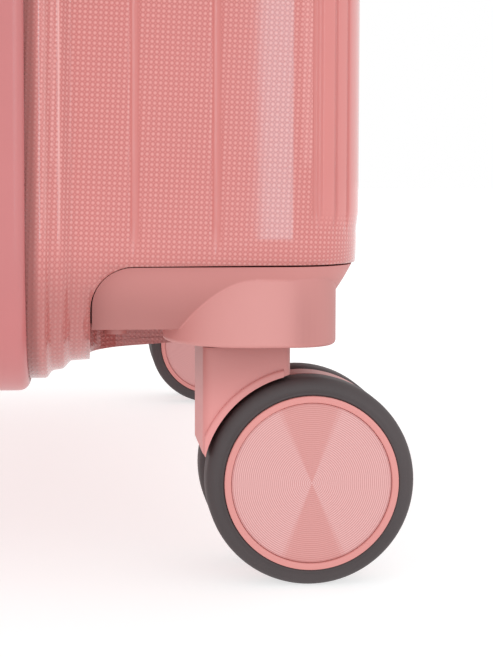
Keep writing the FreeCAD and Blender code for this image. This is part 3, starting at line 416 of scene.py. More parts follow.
def new_piece(name, mesh_data, body, finish, replaced=()):
    """A finished piece, riding on a body and standing for CAD nodes."""
    piece = add_object(name, mesh_data)
    piece.data.materials.clear()
    piece.data.materials.append(finish)
    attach(piece, body)
    if replaced:
        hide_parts(*replaced)
    return piece


def spread(low, high, step):
    """Even places from low to high, about a step apart."""
    count = max(1, round(abs((high - low) / step)))
    return [low + (high - low) * i / count for i in range(count + 1)]


def rounded(centre, radius, start, end, steps):
    """Points on an arc; angles in degrees, measured from the first axis towards the second."""
    points = []
    for i in range(steps + 1):
        angle = math.radians(start + (end - start) * i / steps)
        points.append((centre[0] + radius * math.cos(angle), centre[1] + radius * math.sin(angle)))
    return points


print("places 4 mm apart:", spread(0.0, 12 * MM, 4 * MM))

# %% [markdown]
# ## Sweeping a section round the case
# Frame and shell share one outline: a rectangle with rounded corners. A section is a list of (inset, depth) points.
# `outline` gives stations, each a centre on the inner rectangle and a direction outwards, and `sweep` lays the
# section on every station. That keeps both pieces on the same outline by construction.

# %% Outline stations
class Station:
    """A place on the case's outline: centre on the inner rectangle, outward angle and distance walked."""

    def __init__(self, x, z, angle, walked):
        self.x, self.z, self.angle, self.walked = x, z, angle, walked

    def at(self, inset, depth, side):
        """The point at an inset from the outline and a depth; side is 1 on the base and -1 on the lid."""
        reach = CORNER - inset
        return Vector((self.x + math.cos(self.angle) * reach, side * depth, self.z + math.sin(self.angle) * reach))


LATTICE_CORNER = 30 * MM               # radius that the dot lattice is laid out for on the corners

def lattice_rate(from_side):
    """How fast the dot lattice advances on a corner: it is drawn out where the wall turns away from the side."""
    return max(math.cos(from_side), 0.2) if from_side < math.radians(80) else 1.0


def outline(columns, rows, corner_steps):
    """Stations round the case, anticlockwise from the underside's left end.

    Columns are x places along the top and bottom, and rows are z places along the sides. The last station closes
    the ring on the first, and the dot lattice has its one seam there, under the case.
    """
    x, low, high = HALF_WIDTH - CORNER, CASE_LOW + CORNER, CASE_HIGH - CORNER
    stations, walked = [], 0.0
    sides = [[(c, low) for c in columns], [(x, z) for z in rows], [(c, high) for c in reversed(columns)],
             [(-x, z) for z in reversed(rows)]]
    for turn, places in enumerate(sides):
        start = (turn - 1) * math.pi / 2
        for index, place in enumerate(places):
            if index:
                walked += (Vector(place) - Vector(places[index - 1])).length
            stations.append(Station(*place, start, walked))
        for step in range(1, corner_steps + 1):
            part = step / corner_steps * math.pi / 2
            from_side = part if turn % 2 else math.pi / 2 - part
            walked += math.pi / 2 / corner_steps * LATTICE_CORNER * lattice_rate(from_side)
            if step < corner_steps:
                stations.append(Station(*places[-1], start + part, walked))
    return stations


def even_outline(step, corner_steps):
    """An outline with even places along its four sides."""
    return outline(spread(-(HALF_WIDTH - CORNER), HALF_WIDTH - CORNER, step),
                   spread(CASE_LOW + CORNER, CASE_HIGH - CORNER, step), corner_steps)


def swept_mesh(name, section, stations, side):
    """A closed section swept round the outline as a smooth ring."""
    work = bmesh.new()
    rings = [[work.verts.new(s.at(inset, depth, side)) for inset, depth in section] for s in stations]
    for here, there in zip(rings, rings[1:] + rings[:1]):
        join_rows(work, here, there)
    return finished_mesh(work, name)


print("outline corner radius %.0f mm" % (CORNER / MM))

# %% [markdown]
# ## The closing frames
# Each half has an enamelled profile whose outer edge towards the shell is gently rounded. A swept section with
# a few extra points by each edge keeps the flat bands flat and the edges soft, without a bevel modifier.

# %% Frames
FRAME_EDGE = 3.0 * MM                  # radius of the edge towards the shell
FRAME_SMALL_EDGE = 0.5 * MM            # radius of the edge where the halves meet
FRAME_WALL = 8.0 * MM
FRAME_STEP = 3.0 * MM                  # how far the shell's seat lies under the frame's edge
frame_start, frame_depth = base_frame_low.y, base_frame_high.y

def frame_section():
    """The frame's section, as (inset, depth) points from the meeting edge over the band to the shell's seat."""
    edge, small, seat = FRAME_EDGE, FRAME_SMALL_EDGE, frame_depth - FRAME_STEP
    points = rounded((small, frame_start + small), small, 270, 180, 3)
    points += [(0.0, frame_start + 2 * MM), (0.0, frame_depth - edge - 1 * MM)]
    points += rounded((edge, frame_depth - edge), edge, 180, 100, 6)
    points += [(edge + 0.15 * MM, seat), (5.6 * MM, seat)]
    return points + [(FRAME_WALL, seat - 0.5 * MM), (FRAME_WALL, frame_start)]


frame_stations = even_outline(60 * MM, 28)
for body, node, side in (("base", "base_frame", 1), ("lid", "lid_frame", -1)):
    data = swept_mesh(node + "_enamelled", frame_section(), frame_stations, side)
    piece = new_piece(node + "_enamelled", data, body, frame_finish, (node,))
    print(piece.name, len(piece.data.polygons), "faces")

# %% [markdown]
# ## The half shells
# A half shell is the outline again with an open section: rim, two small shoulders, a drafted wall and a rounded edge.
# The large face closes it. Narrow grooves run down the walls and the face, and raised rails guard the upright
# edges. All three are offsets added along the surface while the grid is built, so the walls stay one clean mesh.

# %% Shell section
EDGE_RADIUS = 20 * MM
WALL_LEAN = math.radians(4.0)
RIM_DEPTH = 6.3 * MM                   # where the shell's rim sits in the frame
WALL_START = (7.8 * MM, 26.8 * MM)     # inset and depth at which the drafted wall begins
EDGE_DEPTH = HALF_DEPTH - EDGE_RADIUS
EDGE_INSET = (WALL_START[0] + (EDGE_DEPTH - WALL_START[1]) * math.tan(WALL_LEAN)
              + EDGE_RADIUS / math.cos(WALL_LEAN))
GROOVES = (43.0 * MM, 63.6 * MM)
GROOVE_HALF = 1.05 * MM
GROOVE_DEPTH = 0.75 * MM
GROOVE_PITCH = GROOVES[1] - GROOVES[0]
RAILS = ((22.6, 35.4), (36.6, 48.6), (49.8, 76.0))   # degrees round the upright edge
RECESS = (16.4, 21.4)                                # smooth channel beside the first rail
RAIL_HEIGHT = 0.65 * MM
GROOVE_LEAD, RAIL_LEAD = -2 * MM, 3 * MM             # how far they run on towards the corners
FEATURE_END = 6 * MM                                 # length over which they fade out

def hump(distance, half_width, soft):
    """1 inside half_width, falling smoothly to 0 over soft."""
    t = min(1.0, max(0.0, (half_width + soft - distance) / soft))
    return t * t * (3 - 2 * t)


def groove_cut(distance):
    """1 in the middle of a groove, falling smoothly to 0 beside it."""
    return hump(distance, 0.45 * GROOVE_HALF, 0.9 * GROOVE_HALF)


def shell_points():
    """(inset, depth, lean of the surface, groove, rail) along the section, from the rim to the large face."""
    shoulders = [(3.2, 20.0), (3.5, 20.6), (4.2, 21.1), (4.9, 21.6), (5.3, 22.3), (5.5, 23.8), (5.7, 24.7),
                 (6.3, 25.4), (7.1, 26.1)]                # in mm
    shoulders = [(RIM_INSET, depth) for depth in (RIM_DEPTH, 12 * MM, 17.6 * MM)] + [
        (inset * MM, depth * MM) for inset, depth in shoulders]
    points = [(*p, 0.0, 0.0, 0.0) for p in shoulders]
    depths = set(spread(WALL_START[1], EDGE_DEPTH, 6 * MM))
    depths |= {WALL_START[1] + 0.5 * MM, WALL_START[1] + 1.2 * MM, EDGE_DEPTH - 1.0 * MM}
    for centre in GROOVES:
        depths = {d for d in depths if abs(d - centre) > 2.6 * MM}
        depths |= {centre + s * g for g in (0.0, 0.5 * MM, 0.8 * MM, 1.1 * MM, 1.4 * MM, 1.8 * MM) for s in (-1, 1)}
    for depth in sorted(depths):
        inset = WALL_START[0] + (depth - WALL_START[1]) * math.tan(WALL_LEAN)
        groove = max(groove_cut(abs(depth - c)) for c in GROOVES)
        points.append((inset, depth, WALL_LEAN, groove, 0.0))
    angles = set(spread(4.0, 90.0, 4.0))
    for low, high in RAILS + (RECESS,):
        angles |= {low - 0.6, low, low + 0.5, low + 1.1, low + 1.8}
        angles |= {high - 1.8, high - 1.1, high - 0.5, high, high + 0.6}
    for degrees in sorted(angles)[1:]:
        angle = math.radians(degrees)
        middle = ((a + b) / 2 for a, b in RAILS)
        rail = max(hump(abs(degrees - m), (b - a) / 2 - 1.4, 1.4) for m, (a, b) in zip(middle, RAILS))
        rail -= 0.7 * hump(abs(degrees - sum(RECESS) / 2), (RECESS[1] - RECESS[0]) / 2 - 1.0, 1.0)
        points.append((EDGE_INSET - EDGE_RADIUS * math.cos(angle), EDGE_DEPTH + EDGE_RADIUS * math.sin(angle),
                       angle, 0.0, rail))
    points.append((CORNER, HALF_DEPTH, math.pi / 2, 0.0, 0.0))
    return points


SECTION = shell_points()
print("section points", len(SECTION), "edge inset %.1f mm" % (EDGE_INSET / MM))

# %% [markdown]
# The grooves and rails fade out a little before the corners. `feature_fade` is 1 along the straight uprights and
# 0 on the corners, so the section can stay the same all the way round. The places along the outline crowd together
# where a groove crosses the large face and where the grooves end.

# %% Shell grid
def feature_fade(station, lead):
    """1 on the upright sides, 0 on corners, top and bottom; lead moves the end along the side."""
    if abs(math.cos(station.angle)) < 0.999:
        return 0.0
    return end_fade(min(station.z - (CASE_LOW + CORNER), CASE_HIGH - CORNER - station.z), lead)


def end_fade(from_end, lead):
    """0 at the end of a side, climbing to 1 along it."""
    return hump(max(0.0, lead + FEATURE_END - from_end), 0.0, FEATURE_END)


def face_columns():
    """x places on the large face, with extra ones at each groove."""
    reach = HALF_WIDTH - CORNER
    count = int(reach / GROOVE_PITCH)
    grooves = [GROOVE_PITCH * (i + 0.5) for i in range(-count, count)]
    columns = {round(x, 6) for x in spread(-reach, reach, 10 * MM) if all(abs(x - g) > 2.2 * MM for g in grooves)}
    for g in grooves:
        columns |= {round(g + s * d, 6) for d in (0.0, 0.6 * MM, 1.0 * MM, 1.5 * MM) for s in (-1, 1)}
    return sorted(columns | {-reach, reach}), grooves


def face_rows():
    """z places, close together where the grooves end."""
    low, high, dense = CASE_LOW + CORNER, CASE_HIGH - CORNER, 14 * MM
    ends = spread(0.0, dense, 2 * MM)
    middle = spread(low + dense, high - dense, dense)[1:-1]
    return [low + e for e in ends] + middle + [high - e for e in reversed(ends)]


def inner_section(thickness):
    """(inset, depth) along the inside of the wall, from its face back to the rim, without grooves or rails."""
    radius = EDGE_RADIUS - thickness
    angles = [math.radians(a) for a in spread(90.0, 4.0, -10.0)]
    points = [(CORNER, HALF_DEPTH - thickness)]
    points += [(EDGE_INSET - radius * math.cos(a), EDGE_DEPTH + radius * math.sin(a)) for a in angles]
    return points + [(WALL_START[0] + thickness, WALL_START[1] + 0.7 * MM), (RIM_INSET + thickness, 19.5 * MM),
                     (RIM_INSET + thickness, RIM_DEPTH)]


print("columns", len(face_columns()[0]), "rows", len(face_rows()))

# %% [markdown]
# A shell is closed in four steps: rings of points down the outer wall, the same down the inner wall, faces between
# them, and a grid over the large face. The outer faces get UVs in metres, measured down the section and round the case,
# so the dot lattice follows the surface. Merging doubles joins the parts, and the inside is closed with one flat face.

# %% Closed half shell
MERGE = 0.002 * MM

def outer_ring(work, layer, station, side, skin):
    """The section's points at one station, with grooves cut, rails raised and both marked smooth."""
    groove_fade, rail_fade = feature_fade(station, GROOVE_LEAD), feature_fade(station, RAIL_LEAD)
    ring = []
    for inset, depth, lean, groove, rail in SECTION:
        cut = groove * groove_fade
        band = rail_fade if RECESS[0] <= math.degrees(lean) <= RAILS[-1][1] else 0.0
        offset = rail * rail_fade * RAIL_HEIGHT - cut * GROOVE_DEPTH - skin
        vert = work.verts.new(station.at(inset - offset * math.cos(lean), depth + offset * math.sin(lean), side))
        vert[layer] = max(min(1.0, 1.6 * cut), band)
        ring.append(vert)
    return ring


def wall_faces(work, layer, rings, stations):
    """The outer wall's faces, with the distances down the section and round the case as their UVs."""
    down = [0.0]
    for a, b in zip(SECTION, SECTION[1:]):
        down.append(down[-1] + math.hypot(b[0] - a[0], b[1] - a[1]))
    for s, (here, station) in enumerate(zip(rings, stations)):
        there = rings[(s + 1) % len(rings)]
        next_walk = stations[s + 1].walked if s + 1 < len(rings) else station.walked + 2 * MM
        for i in range(len(SECTION) - 1):
            face = work.faces.new((here[i], here[i + 1], there[i + 1], there[i]))
            places = ((down[i], station.walked), (down[i + 1], station.walked), (down[i + 1], next_walk),
                      (down[i], next_walk))
            for loop, place in zip(face.loops, places):
                loop[layer].uv = place


def large_face(work, uv_layer, smooth_layer, columns, rows, grooves, side, skin):
    """The grid over the large face, with its grooves."""
    grid = []
    for z in rows:
        fade = end_fade(min(z - rows[0], rows[-1] - z), 2 * MM)
        line = []
        for x in columns:
            cut = groove_cut(min(abs(x - g) for g in grooves)) * fade
            vert = work.verts.new((x, side * (HALF_DEPTH - cut * GROOVE_DEPTH - skin), z))
            vert[smooth_layer] = min(1.0, 1.6 * cut)
            line.append(vert)
        grid.append(line)
    for low, high in zip(grid, grid[1:]):
        for i in range(len(columns) - 1):
            face = work.faces.new((low[i], low[i + 1], high[i + 1], high[i]))
            for loop in face.loops:
                loop[uv_layer].uv = (loop.vert.co.x + FACE_SHIFT, loop.vert.co.z)


def half_shell_mesh(side, thickness, skin=0.0):
    """One half shell as a closed mesh, from skin under its surface down to a thickness."""
    columns, grooves = face_columns()
    rows = face_rows()
    stations = outline(columns, rows, 16)
    work = bmesh.new()
    uv_layer = work.loops.layers.uv.new("surface")
    smooth_layer = work.verts.layers.float.new("smooth")
    rings = [outer_ring(work, smooth_layer, station, side, skin) for station in stations]
    inner = [[work.verts.new(s.at(*point, side)) for point in inner_section(thickness)] for s in stations]
    for vert in (v for ring in inner for v in ring):
        vert[smooth_layer] = 1.0
    for here, there, outer, outer_there in zip(inner, inner[1:] + inner[:1], rings, rings[1:] + rings[:1]):
        join_rows(work, here, there, ring=False)
        work.faces.new((here[-1], outer[0], outer_there[0], there[-1]))
    wall_faces(work, uv_layer, rings, stations)
    large_face(work, uv_layer, smooth_layer, columns, rows, grooves, side, skin)
    bmesh.ops.remove_doubles(work, verts=work.verts, dist=MERGE)
    bmesh.ops.dissolve_degenerate(work, edges=work.edges, dist=MERGE / 2)
    bmesh.ops.holes_fill(work, edges=[e for e in work.edges if e.is_boundary], sides=0)
    return finished_mesh(work, "half_shell")


print("shell section", len(SECTION), "points outside,", len(inner_section(2 * MM)), "inside")

# %% [markdown]
# The two wheel housings' openings are then cut with a rounded block, as a mould slide would form them. The base shell
# also has a slot for the telescopic handle's bezel. A boolean on closed meshes gives clean edges, where a hole modelled
# into the grid would need its points moved to the cut. Each opening has a wall that turns in: it is cut from a thicker
# shell by two blocks, one a wall's thickness larger than the other.

# %% Openings
housing_low, housing_high = corners_of("base_wheel_housings")
HOUSING_GAP = 0.5 * MM
OPENING_START_Y = housing_low.y - HOUSING_GAP
OPENING_TOP = housing_high.z + HOUSING_GAP
OPENING_CORNER = 11 * MM
OPENING_RETURN = 8 * MM
SHELL_WALL = 2 * MM
RETURN_OVERLAP = 0.1 * MM              # the turned-in wall starts this far inside the shell's inner face
BEZEL_GAP = 0.3 * MM
OPENING_START_X = SWIVEL.x - 24 * MM
CUTTER_SPARE = 20 * MM                 # how far a cutter reaches past the case
SAME_PLACE = 0.01 * MM

def cutter_block(low, high, rounded_edges, radius):
    """A block for cutting, with the named edges rounded."""
    work = box_between(low, high)
    edges = [e for e in work.edges if rounded_edges((e.verts[0].co + e.verts[1].co) / 2)]
    bmesh.ops.bevel(work, geom=edges, offset=radius, segments=10, profile=0.5, affect="EDGES")
    return add_object("cutter", finished_mesh(work, "cutter", outwards=False, smooth=False))


def housing_cutter(sign_x, side, grow=0.0):
    """The rounded block of one wheel housing's opening, or a block larger by grow all round."""
    start = OPENING_START_X - grow, OPENING_START_Y - grow, OPENING_TOP + grow
    x = sorted((sign_x * start[0], sign_x * (HALF_WIDTH + CUTTER_SPARE)))
    y = sorted((side * start[1], side * (HALF_DEPTH + CUTTER_SPARE)))
    low, high = (x[0], y[0], CASE_LOW - CUTTER_SPARE), (x[1], y[1], start[2])

    def inner(middle):
        return sum(abs(abs(m) - s) < SAME_PLACE for m, s in zip(middle, start)) >= 2

    return cutter_block(low, high, inner, OPENING_CORNER + grow)


def cut_with(piece, steps):
    """Boolean steps of (operation, cutter), applied in order; the cutters are then removed."""
    for operation, cutter in steps:
        cut = piece.modifiers.new("opening", "BOOLEAN")
        cut.object, cut.operation, cut.solver = cutter, operation, "EXACT"
    apply_modifiers(piece)
    for _, cutter in steps:
        bpy.data.objects.remove(cutter)


def lay_lattice_flat(data, keep=False):
    """Surface UVs read straight off the coordinates; keep leaves the faces that already have some."""
    layer, has_some = data.uv_layers["surface"].data, 1e-6
    for face in data.polygons:
        if keep and any(layer[corner].uv.length > has_some for corner in face.loop_indices):
            continue
        facing = max(range(3), key=lambda i: abs(face.normal[i]))
        first, second = ((1, 2), (0, 2), (0, 1))[facing]
        for corner in face.loop_indices:
            place = data.vertices[data.loops[corner].vertex_index].co
            layer[corner].uv = (place[first] + FACE_SHIFT, place[second])


def opening_return(sign_x, side, body):
    """The wall that turns in round one opening, cut out of a shell made four times as thick."""
    piece = add_object("return", half_shell_mesh(side, OPENING_RETURN, SHELL_WALL - RETURN_OVERLAP))
    cut_with(piece, [("INTERSECT", housing_cutter(sign_x, side, SHELL_WALL)),
                     ("DIFFERENCE", housing_cutter(sign_x, side))])
    data = piece.data
    lay_lattice_flat(data)
    bpy.data.objects.remove(piece)
    name = "%s_%s_opening_return" % (body, "right" if sign_x > 0 else "left")
    return new_piece(name, data, body, shell_finish)


def half_shell(node, body, side):
    """One shell with its openings, in place of the CAD one."""
    piece = add_object("uncut", half_shell_mesh(side, SHELL_WALL))
    cutters = [housing_cutter(sign, side) for sign in (-1, 1)]
    if body == "base":
        low, high = corners_of("trolley_bezel")
        gap = Vector((BEZEL_GAP, BEZEL_GAP, BEZEL_GAP))
        cutters.append(cutter_block(low - gap, high + gap, lambda middle: False, 0.0))
    cut_with(piece, [("DIFFERENCE", cutter) for cutter in cutters])
    data = piece.data
    lay_lattice_flat(data, keep=True)
    bpy.data.objects.remove(piece)
    moulded_shell = new_piece(node + "_moulded", data, body, shell_finish, (node,))
    print(moulded_shell.name, len(data.polygons), "faces")


for node, body, side in (("base_shell", "base", 1), ("lid_shell", "lid", -1)):
    half_shell(node, body, side)
    for sign in (-1, 1):
        opening_return(sign, side, body)

# %% [markdown]
# ## Wheels
# A wheel is turned: a soft tyre, a hub with a proud rim and a trim disc with fine concentric turning marks.
# The disc's rings are half a millimetre apart; light lines along them and four lighter and darker sectors are a painted
# reflection of the turning. Its finish reads both from a UV map that holds the angle and the radius.

# %% Turned trim disc finish
RING_PITCH = 0.52 * MM

def turned_disc():
    """Fine rings with a painted highlight along them, and a painted reflection that is lighter in two opposite sectors
    and darker in the others.
    """
    finish = Finish("turned_trim_disc", srgb(228, 150, 148), 0.34, Specular_IOR_Level=0.5)
    uv = finish.add("ShaderNodeUVMap", {"uv_map": "surface"})
    turn, radius, _ = finish.split(uv)
    ring = (radius * (2 * math.pi / RING_PITCH)).sine()
    # Painted reflection: two opposite sectors lighter, the others darker.
    sector_reflection = ((turn * 2).fract() - 0.5).absolute().smooth(0.10, 0.15)
    drift = finish.noise(40.0, 2.0)
    dark = finish.mix(sector_reflection, paint(196, 127, 123), paint(198, 134, 132))
    light = finish.mix(sector_reflection, paint(216, 152, 148), paint(230, 180, 178))
    # Painted highlight along the turning marks, on top of their bump.
    rings = finish.mix(ring * 0.5 + 0.5, dark, light)
    finish.put("Base Color", finish.mix(drift * 0.2, rings, paint(213, 148, 145)))
    finish.bump(ring, 0.5, 0.02 * MM)
    return finish.material


disc_finish = turned_disc()
print("rings", RING_PITCH / MM, "mm apart")

# %% [markdown]
# A turned piece could be a Screw modifier on a curve, but then its UVs would have to be added afterwards. Here the
# profile of (radius, depth) points is spun in a loop, and every face gets its angle and radius on the way. A point on
# the axle is shared by a whole ring, so the disc's middle is closed with triangles.

# %% Turning a profile
TURN_STEPS = 128

def turned_ring(work, centre, outward, radius, depth):
    """One point of a profile spun round the axle through centre; on the axle it stays one point."""
    x = centre.x - outward * depth
    if radius == 0.0:
        return [work.verts.new((x, centre.y, centre.z))] * TURN_STEPS
    angles = [2 * math.pi * i / TURN_STEPS for i in range(TURN_STEPS)]
    return [work.verts.new((x, centre.y + radius * math.cos(a), centre.z + radius * math.sin(a))) for a in angles]


def turned_mesh(name, profile, centre, outward, closed=True):
    """A profile of (radius, depth in from the outer face) spun round the axle through centre."""
    work = bmesh.new()
    uv_layer = work.loops.layers.uv.new("surface")
    rings = [turned_ring(work, centre, outward, *point) for point in profile]
    for here, there in zip(rings, rings[1:] + (rings[:1] if closed else [])):
        for i in range(TURN_STEPS):
            j = (i + 1) % TURN_STEPS
            around = list(dict.fromkeys((here[i], there[i], there[j], here[j])))
            if len(around) < 3:
                continue
            for loop in work.faces.new(around).loops:
                arm = Vector((0, loop.vert.co.y - centre.y, loop.vert.co.z - centre.z))
                loop[uv_layer].uv = (i / TURN_STEPS, arm.length)
    return finished_mesh(work, name)


# %% [markdown]
# The three profiles start at the wheel's outer face. The tyre has round shoulders and a small lip on the hub, the hub's
# rim stands proud of the disc, and the disc's edge is rounded so that it catches a thin line of light.

# %% Profiles of a wheel
TYRE_SETBACK = 0.6 * MM                # the tyre's face lies this far in from the rim
TYRE_SHOULDER = 3.2 * MM
AXLE_BORE = 3.05 * MM
HUB_DEPTH = 13 * MM
RIM_WIDTH, RIM_EDGE = 1.75 * MM, 0.3 * MM
DISC_FRONT, DISC_BACK, DISC_EDGE = 0.55 * MM, 1.1 * MM, 0.25 * MM
DISC_GAP = 0.12 * MM

def tyre_profile(seat, tread, width):
    """A tyre from its seat on the hub to its tread."""
    front, shoulder = TYRE_SETBACK, TYRE_SHOULDER
    points = [(seat, front + width), (seat, front + 0.3 * MM), (seat + 0.25 * MM, front)]
    points += [(seat + 0.8 * MM, front - 0.1 * MM), (tread - shoulder - 0.4 * MM, front + 0.25 * MM)]
    points += rounded((tread - shoulder, front + 0.3 * MM + shoulder), shoulder, 270, 360, 8)[1:]
    return points + rounded((tread - shoulder, front + width - shoulder), shoulder, 0, 90, 8)


def hub_profile(rim):
    """A hub with its bore, its proud rim and the face behind the disc."""
    inside = rim - RIM_WIDTH
    points = [(AXLE_BORE, HUB_DEPTH), (rim - 2.4 * MM, HUB_DEPTH), (rim, HUB_DEPTH)]
    points += rounded((rim - RIM_EDGE, RIM_EDGE), RIM_EDGE, 0, -90, 4)
    points += rounded((inside + RIM_EDGE, RIM_EDGE), RIM_EDGE, 270, 180, 4)
    return points + [(inside, 1.0 * MM), (inside - 0.2 * MM, 1.1 * MM), (AXLE_BORE, 1.6 * MM)]


def disc_profile(rim):
    """A trim disc from the middle of its face, round its edge, to the middle of its back."""
    radius = rim - RIM_WIDTH - DISC_GAP
    points = [(0.0, DISC_FRONT)] + [(radius * i / 12, DISC_FRONT) for i in range(1, 12)]
    points += rounded((radius - DISC_EDGE, DISC_FRONT + DISC_EDGE), DISC_EDGE, 270, 360, 3)
    return points + [(radius, DISC_BACK), (0.0, DISC_BACK)]


print("tyre profile", len(tyre_profile(23 * MM, 27.5 * MM, 12 * MM)), "points")

# %% [markdown]
# Every wheel reads its place, radius and width from the boxes of its own CAD pieces, so a change of size in the CAD
# model carries over. The outer face is the one that looks away from the fork.

# %% Wheels on their casters
CASTERS = ("back_right", "back_left", "front_right", "front_left")

def wheel(caster, place):
    """Tyre, hub and trim disc of one wheel."""
    name = f"{caster}_{place}"
    low, high = corners_of(name + "_tyre")
    hub_low, hub_high = corners_of(name + "_hub")
    fork_low, fork_high = corners_of(caster + "_fork")
    centre = (low + high) / 2
    outward = 1 if centre.x > (fork_low.x + fork_high.x) / 2 else -1
    centre.x = hub_high.x if outward > 0 else hub_low.x
    tread, seat = (high.z - low.z) / 2, (hub_high.z - hub_low.z) / 2
    tyre = turned_mesh("tyre", tyre_profile(seat, tread, high.x - low.x), centre, outward)
    hub = turned_mesh("hub", hub_profile(seat), centre, outward)
    disc = turned_mesh("disc", disc_profile(seat), centre, outward, closed=False)
    body = name + "_wheel"
    new_piece(name + "_tyre_moulded", tyre, body, tyre_finish, (name + "_tyre",))
    new_piece(name + "_hub_moulded", hub, body, hub_finish, (name + "_hub",))
    new_piece(name + "_trim_disc", disc, body, disc_finish)


for caster in CASTERS:
    for place in ("outer", "inner"):
        wheel(caster, place)
print("wheels:", 2 * len(CASTERS))

# %% [markdown]
# ## Cloth finishes
# Lining and webbing are woven. A weave is two sets of threads at right angles; where one set's wave is high the other
# dips under it. Two sine waves and a little noise are enough at this size. The pattern runs on object coordinates,
# turned so that it never lines up with a wall and streaks.

# %% Woven cloth
def woven(name, color, thread, turn=0.0, sheen=0.3):
    """A plain weave of threads a pitch apart, turned by an angle in the upright plane."""
    finish = Finish(name, color, 0.82, Sheen_Weight=sheen, Sheen_Roughness=0.5)
    x, y, z = finish.split(finish.place())
    cosine, sine = math.cos(turn), math.sin(turn)
    rate = 2 * math.pi / thread
    warp = ((x * cosine - z * sine + y * 0.71) * rate).sine()
    weft = ((x * sine + z * cosine + y * 0.71) * rate).sine()
    height = warp * weft * 0.5 + 0.5
    cloud = finish.noise(14.0, 3.0)
    fibre = finish.noise(900.0, 2.0)
    dark = tuple(c * 0.72 for c in color)
    light = tuple(min(1.0, c * 1.18) for c in color)
    thread_color = finish.mix(height * 0.7 + fibre * 0.3, (*dark, 1), (*light, 1))
    finish.put("Base Color", finish.mix(cloud.smooth(0.3, 0.8) * 0.18, thread_color, (*color, 1)))
    finish.bump(height + fibre * 0.4, 0.5, thread * 0.14)
    return finish.material


lining_finish = woven("woven_lining", srgb(158, 138, 138), 0.9 * MM, 0.3)
divider_finish = woven("divider_cloth", srgb(150, 128, 130), 1.1 * MM, 0.12)
webbing_finish = woven("webbing", srgb(92, 74, 76), 1.5 * MM, math.radians(45), 0.2)
binding_finish = woven("binding_tape", srgb(196, 128, 126), 0.8 * MM, 0.0, 0.2)
thread_finish = moulded("thread", srgb(226, 196, 192), 0.7)
print("finishes with cloth:", len(bpy.data.materials))

# %% [markdown]
# ## Repeats with Geometry Nodes
# Stitches and zip teeth are one small shape repeated along a line. The node tree resamples a curve to a pitch and puts
# a copy of the shape on every point, turned along the curve. `repeat_along` sets the tree's inputs and keeps the result
# as one plain mesh that rides on one body.

# %% Repeat a shape along a path
def path_object(name, points, closed):
    """A curve of straight steps through points."""
    curve = bpy.data.curves.new(name, "CURVE")
    curve.dimensions = "3D"
    spline = curve.splines.new("POLY")
    spline.points.add(len(points) - 1)
    for point, place in zip(spline.points, points):
        point.co = (*place, 1.0)
    spline.use_cyclic_u = closed
    return add_object(name, curve)


def repeat_tree():
    """A node group: a curve in, copies of one object along it out, a pitch apart."""
    tree = bpy.data.node_groups.new("repeat_along_path", "GeometryNodeTree")
    socket = tree.interface.new_socket
    for name, kind in (("Path", "Geometry"), ("Pitch", "Float"), ("Shape", "Object"), ("Finish", "Material")):
        socket(name, in_out="INPUT", socket_type="NodeSocket" + kind)
    socket("Copies", in_out="OUTPUT", socket_type="NodeSocketGeometry")
    new, link = tree.nodes.new, tree.links.new
    start, end = new("NodeGroupInput"), new("NodeGroupOutput")
    resample = new("GeometryNodeResampleCurve")
    resample.mode = "LENGTH"
    points = new("GeometryNodeCurveToPoints")
    points.mode = "EVALUATED"
    info, copies = new("GeometryNodeObjectInfo"), new("GeometryNodeInstanceOnPoints")
    realize, set_finish = new("GeometryNodeRealizeInstances"), new("GeometryNodeSetMaterial")
    link(start.outputs["Path"], resample.inputs["Curve"])
    link(start.outputs["Pitch"], resample.inputs["Length"])
    link(resample.outputs[0], points.inputs[0])
    link(points.outputs["Points"], copies.inputs["Points"])
    link(points.outputs["Rotation"], copies.inputs["Rotation"])
    link(start.outputs["Shape"], info.inputs["Object"])
    link(info.outputs["Geometry"], copies.inputs["Instance"])
    link(copies.outputs[0], realize.inputs[0])
    link(realize.outputs[0], set_finish.inputs["Geometry"])
    link(start.outputs["Finish"], set_finish.inputs["Material"])
    link(set_finish.outputs[0], end.inputs["Copies"])
    return tree


REPEAT = repeat_tree()

def repeat_along(name, points, pitch, shape, finish, body, closed=False):
    """Copies of a mesh along a path, baked to one plain piece. The shape's z runs along the path."""
    path = path_object(name + "_path", points, closed)
    sample = add_object("sample", shape)
    nodes = path.modifiers.new("repeat", "NODES")
    nodes.node_group = REPEAT
    values = {"Pitch": pitch, "Shape": sample, "Finish": finish}
    for item in REPEAT.interface.items_tree:
        if item.in_out == "INPUT" and item.name in values:
            nodes[item.identifier] = values[item.name]
    data = evaluated_mesh(path)
    for used_up in (path, sample):
        bpy.data.objects.remove(used_up)
    return new_piece(name, data, body, finish)


def block_mesh(width, depth, height, edge, segments=2):
    """A small block about the origin with rounded edges; its z is its length."""
    half = Vector((width, depth, height)) / 2
    work = box_between(-half, half)
    bmesh.ops.bevel(work, geom=list(work.edges), offset=edge, segments=segments, profile=0.5, affect="EDGES")
    return finished_mesh(work, "block", outwards=False)


print("repeat tree nodes:", len(REPEAT.nodes))

# %% [markdown]
# ## Linings
# Each half is lined with cloth: a tray that follows the walls and steps over the two wheel housings. A closed block
# with the corners cut away is remeshed evenly and smoothed, which rounds its edges as cloth does; then its open side is
# taken off, shallow folds are pressed into it and it gets a cloth's thickness.

# %% Cloth trays
LINING_INSET = HALF_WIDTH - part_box("lid_lining")[1][0]
TRAY_SPARE = 12 * MM                   # the closed block reaches this far past the tray's free edge
TRAY_EDGE = 7 * MM                     # radius round the tray's floor
HOUSING_MARGIN = 3 * MM
CLOTH_GRID, CLOTH_THICKNESS = 3.2 * MM, 0.9 * MM
FOLD_DEPTH, FOLD_START = 1.1 * MM, 6 * MM

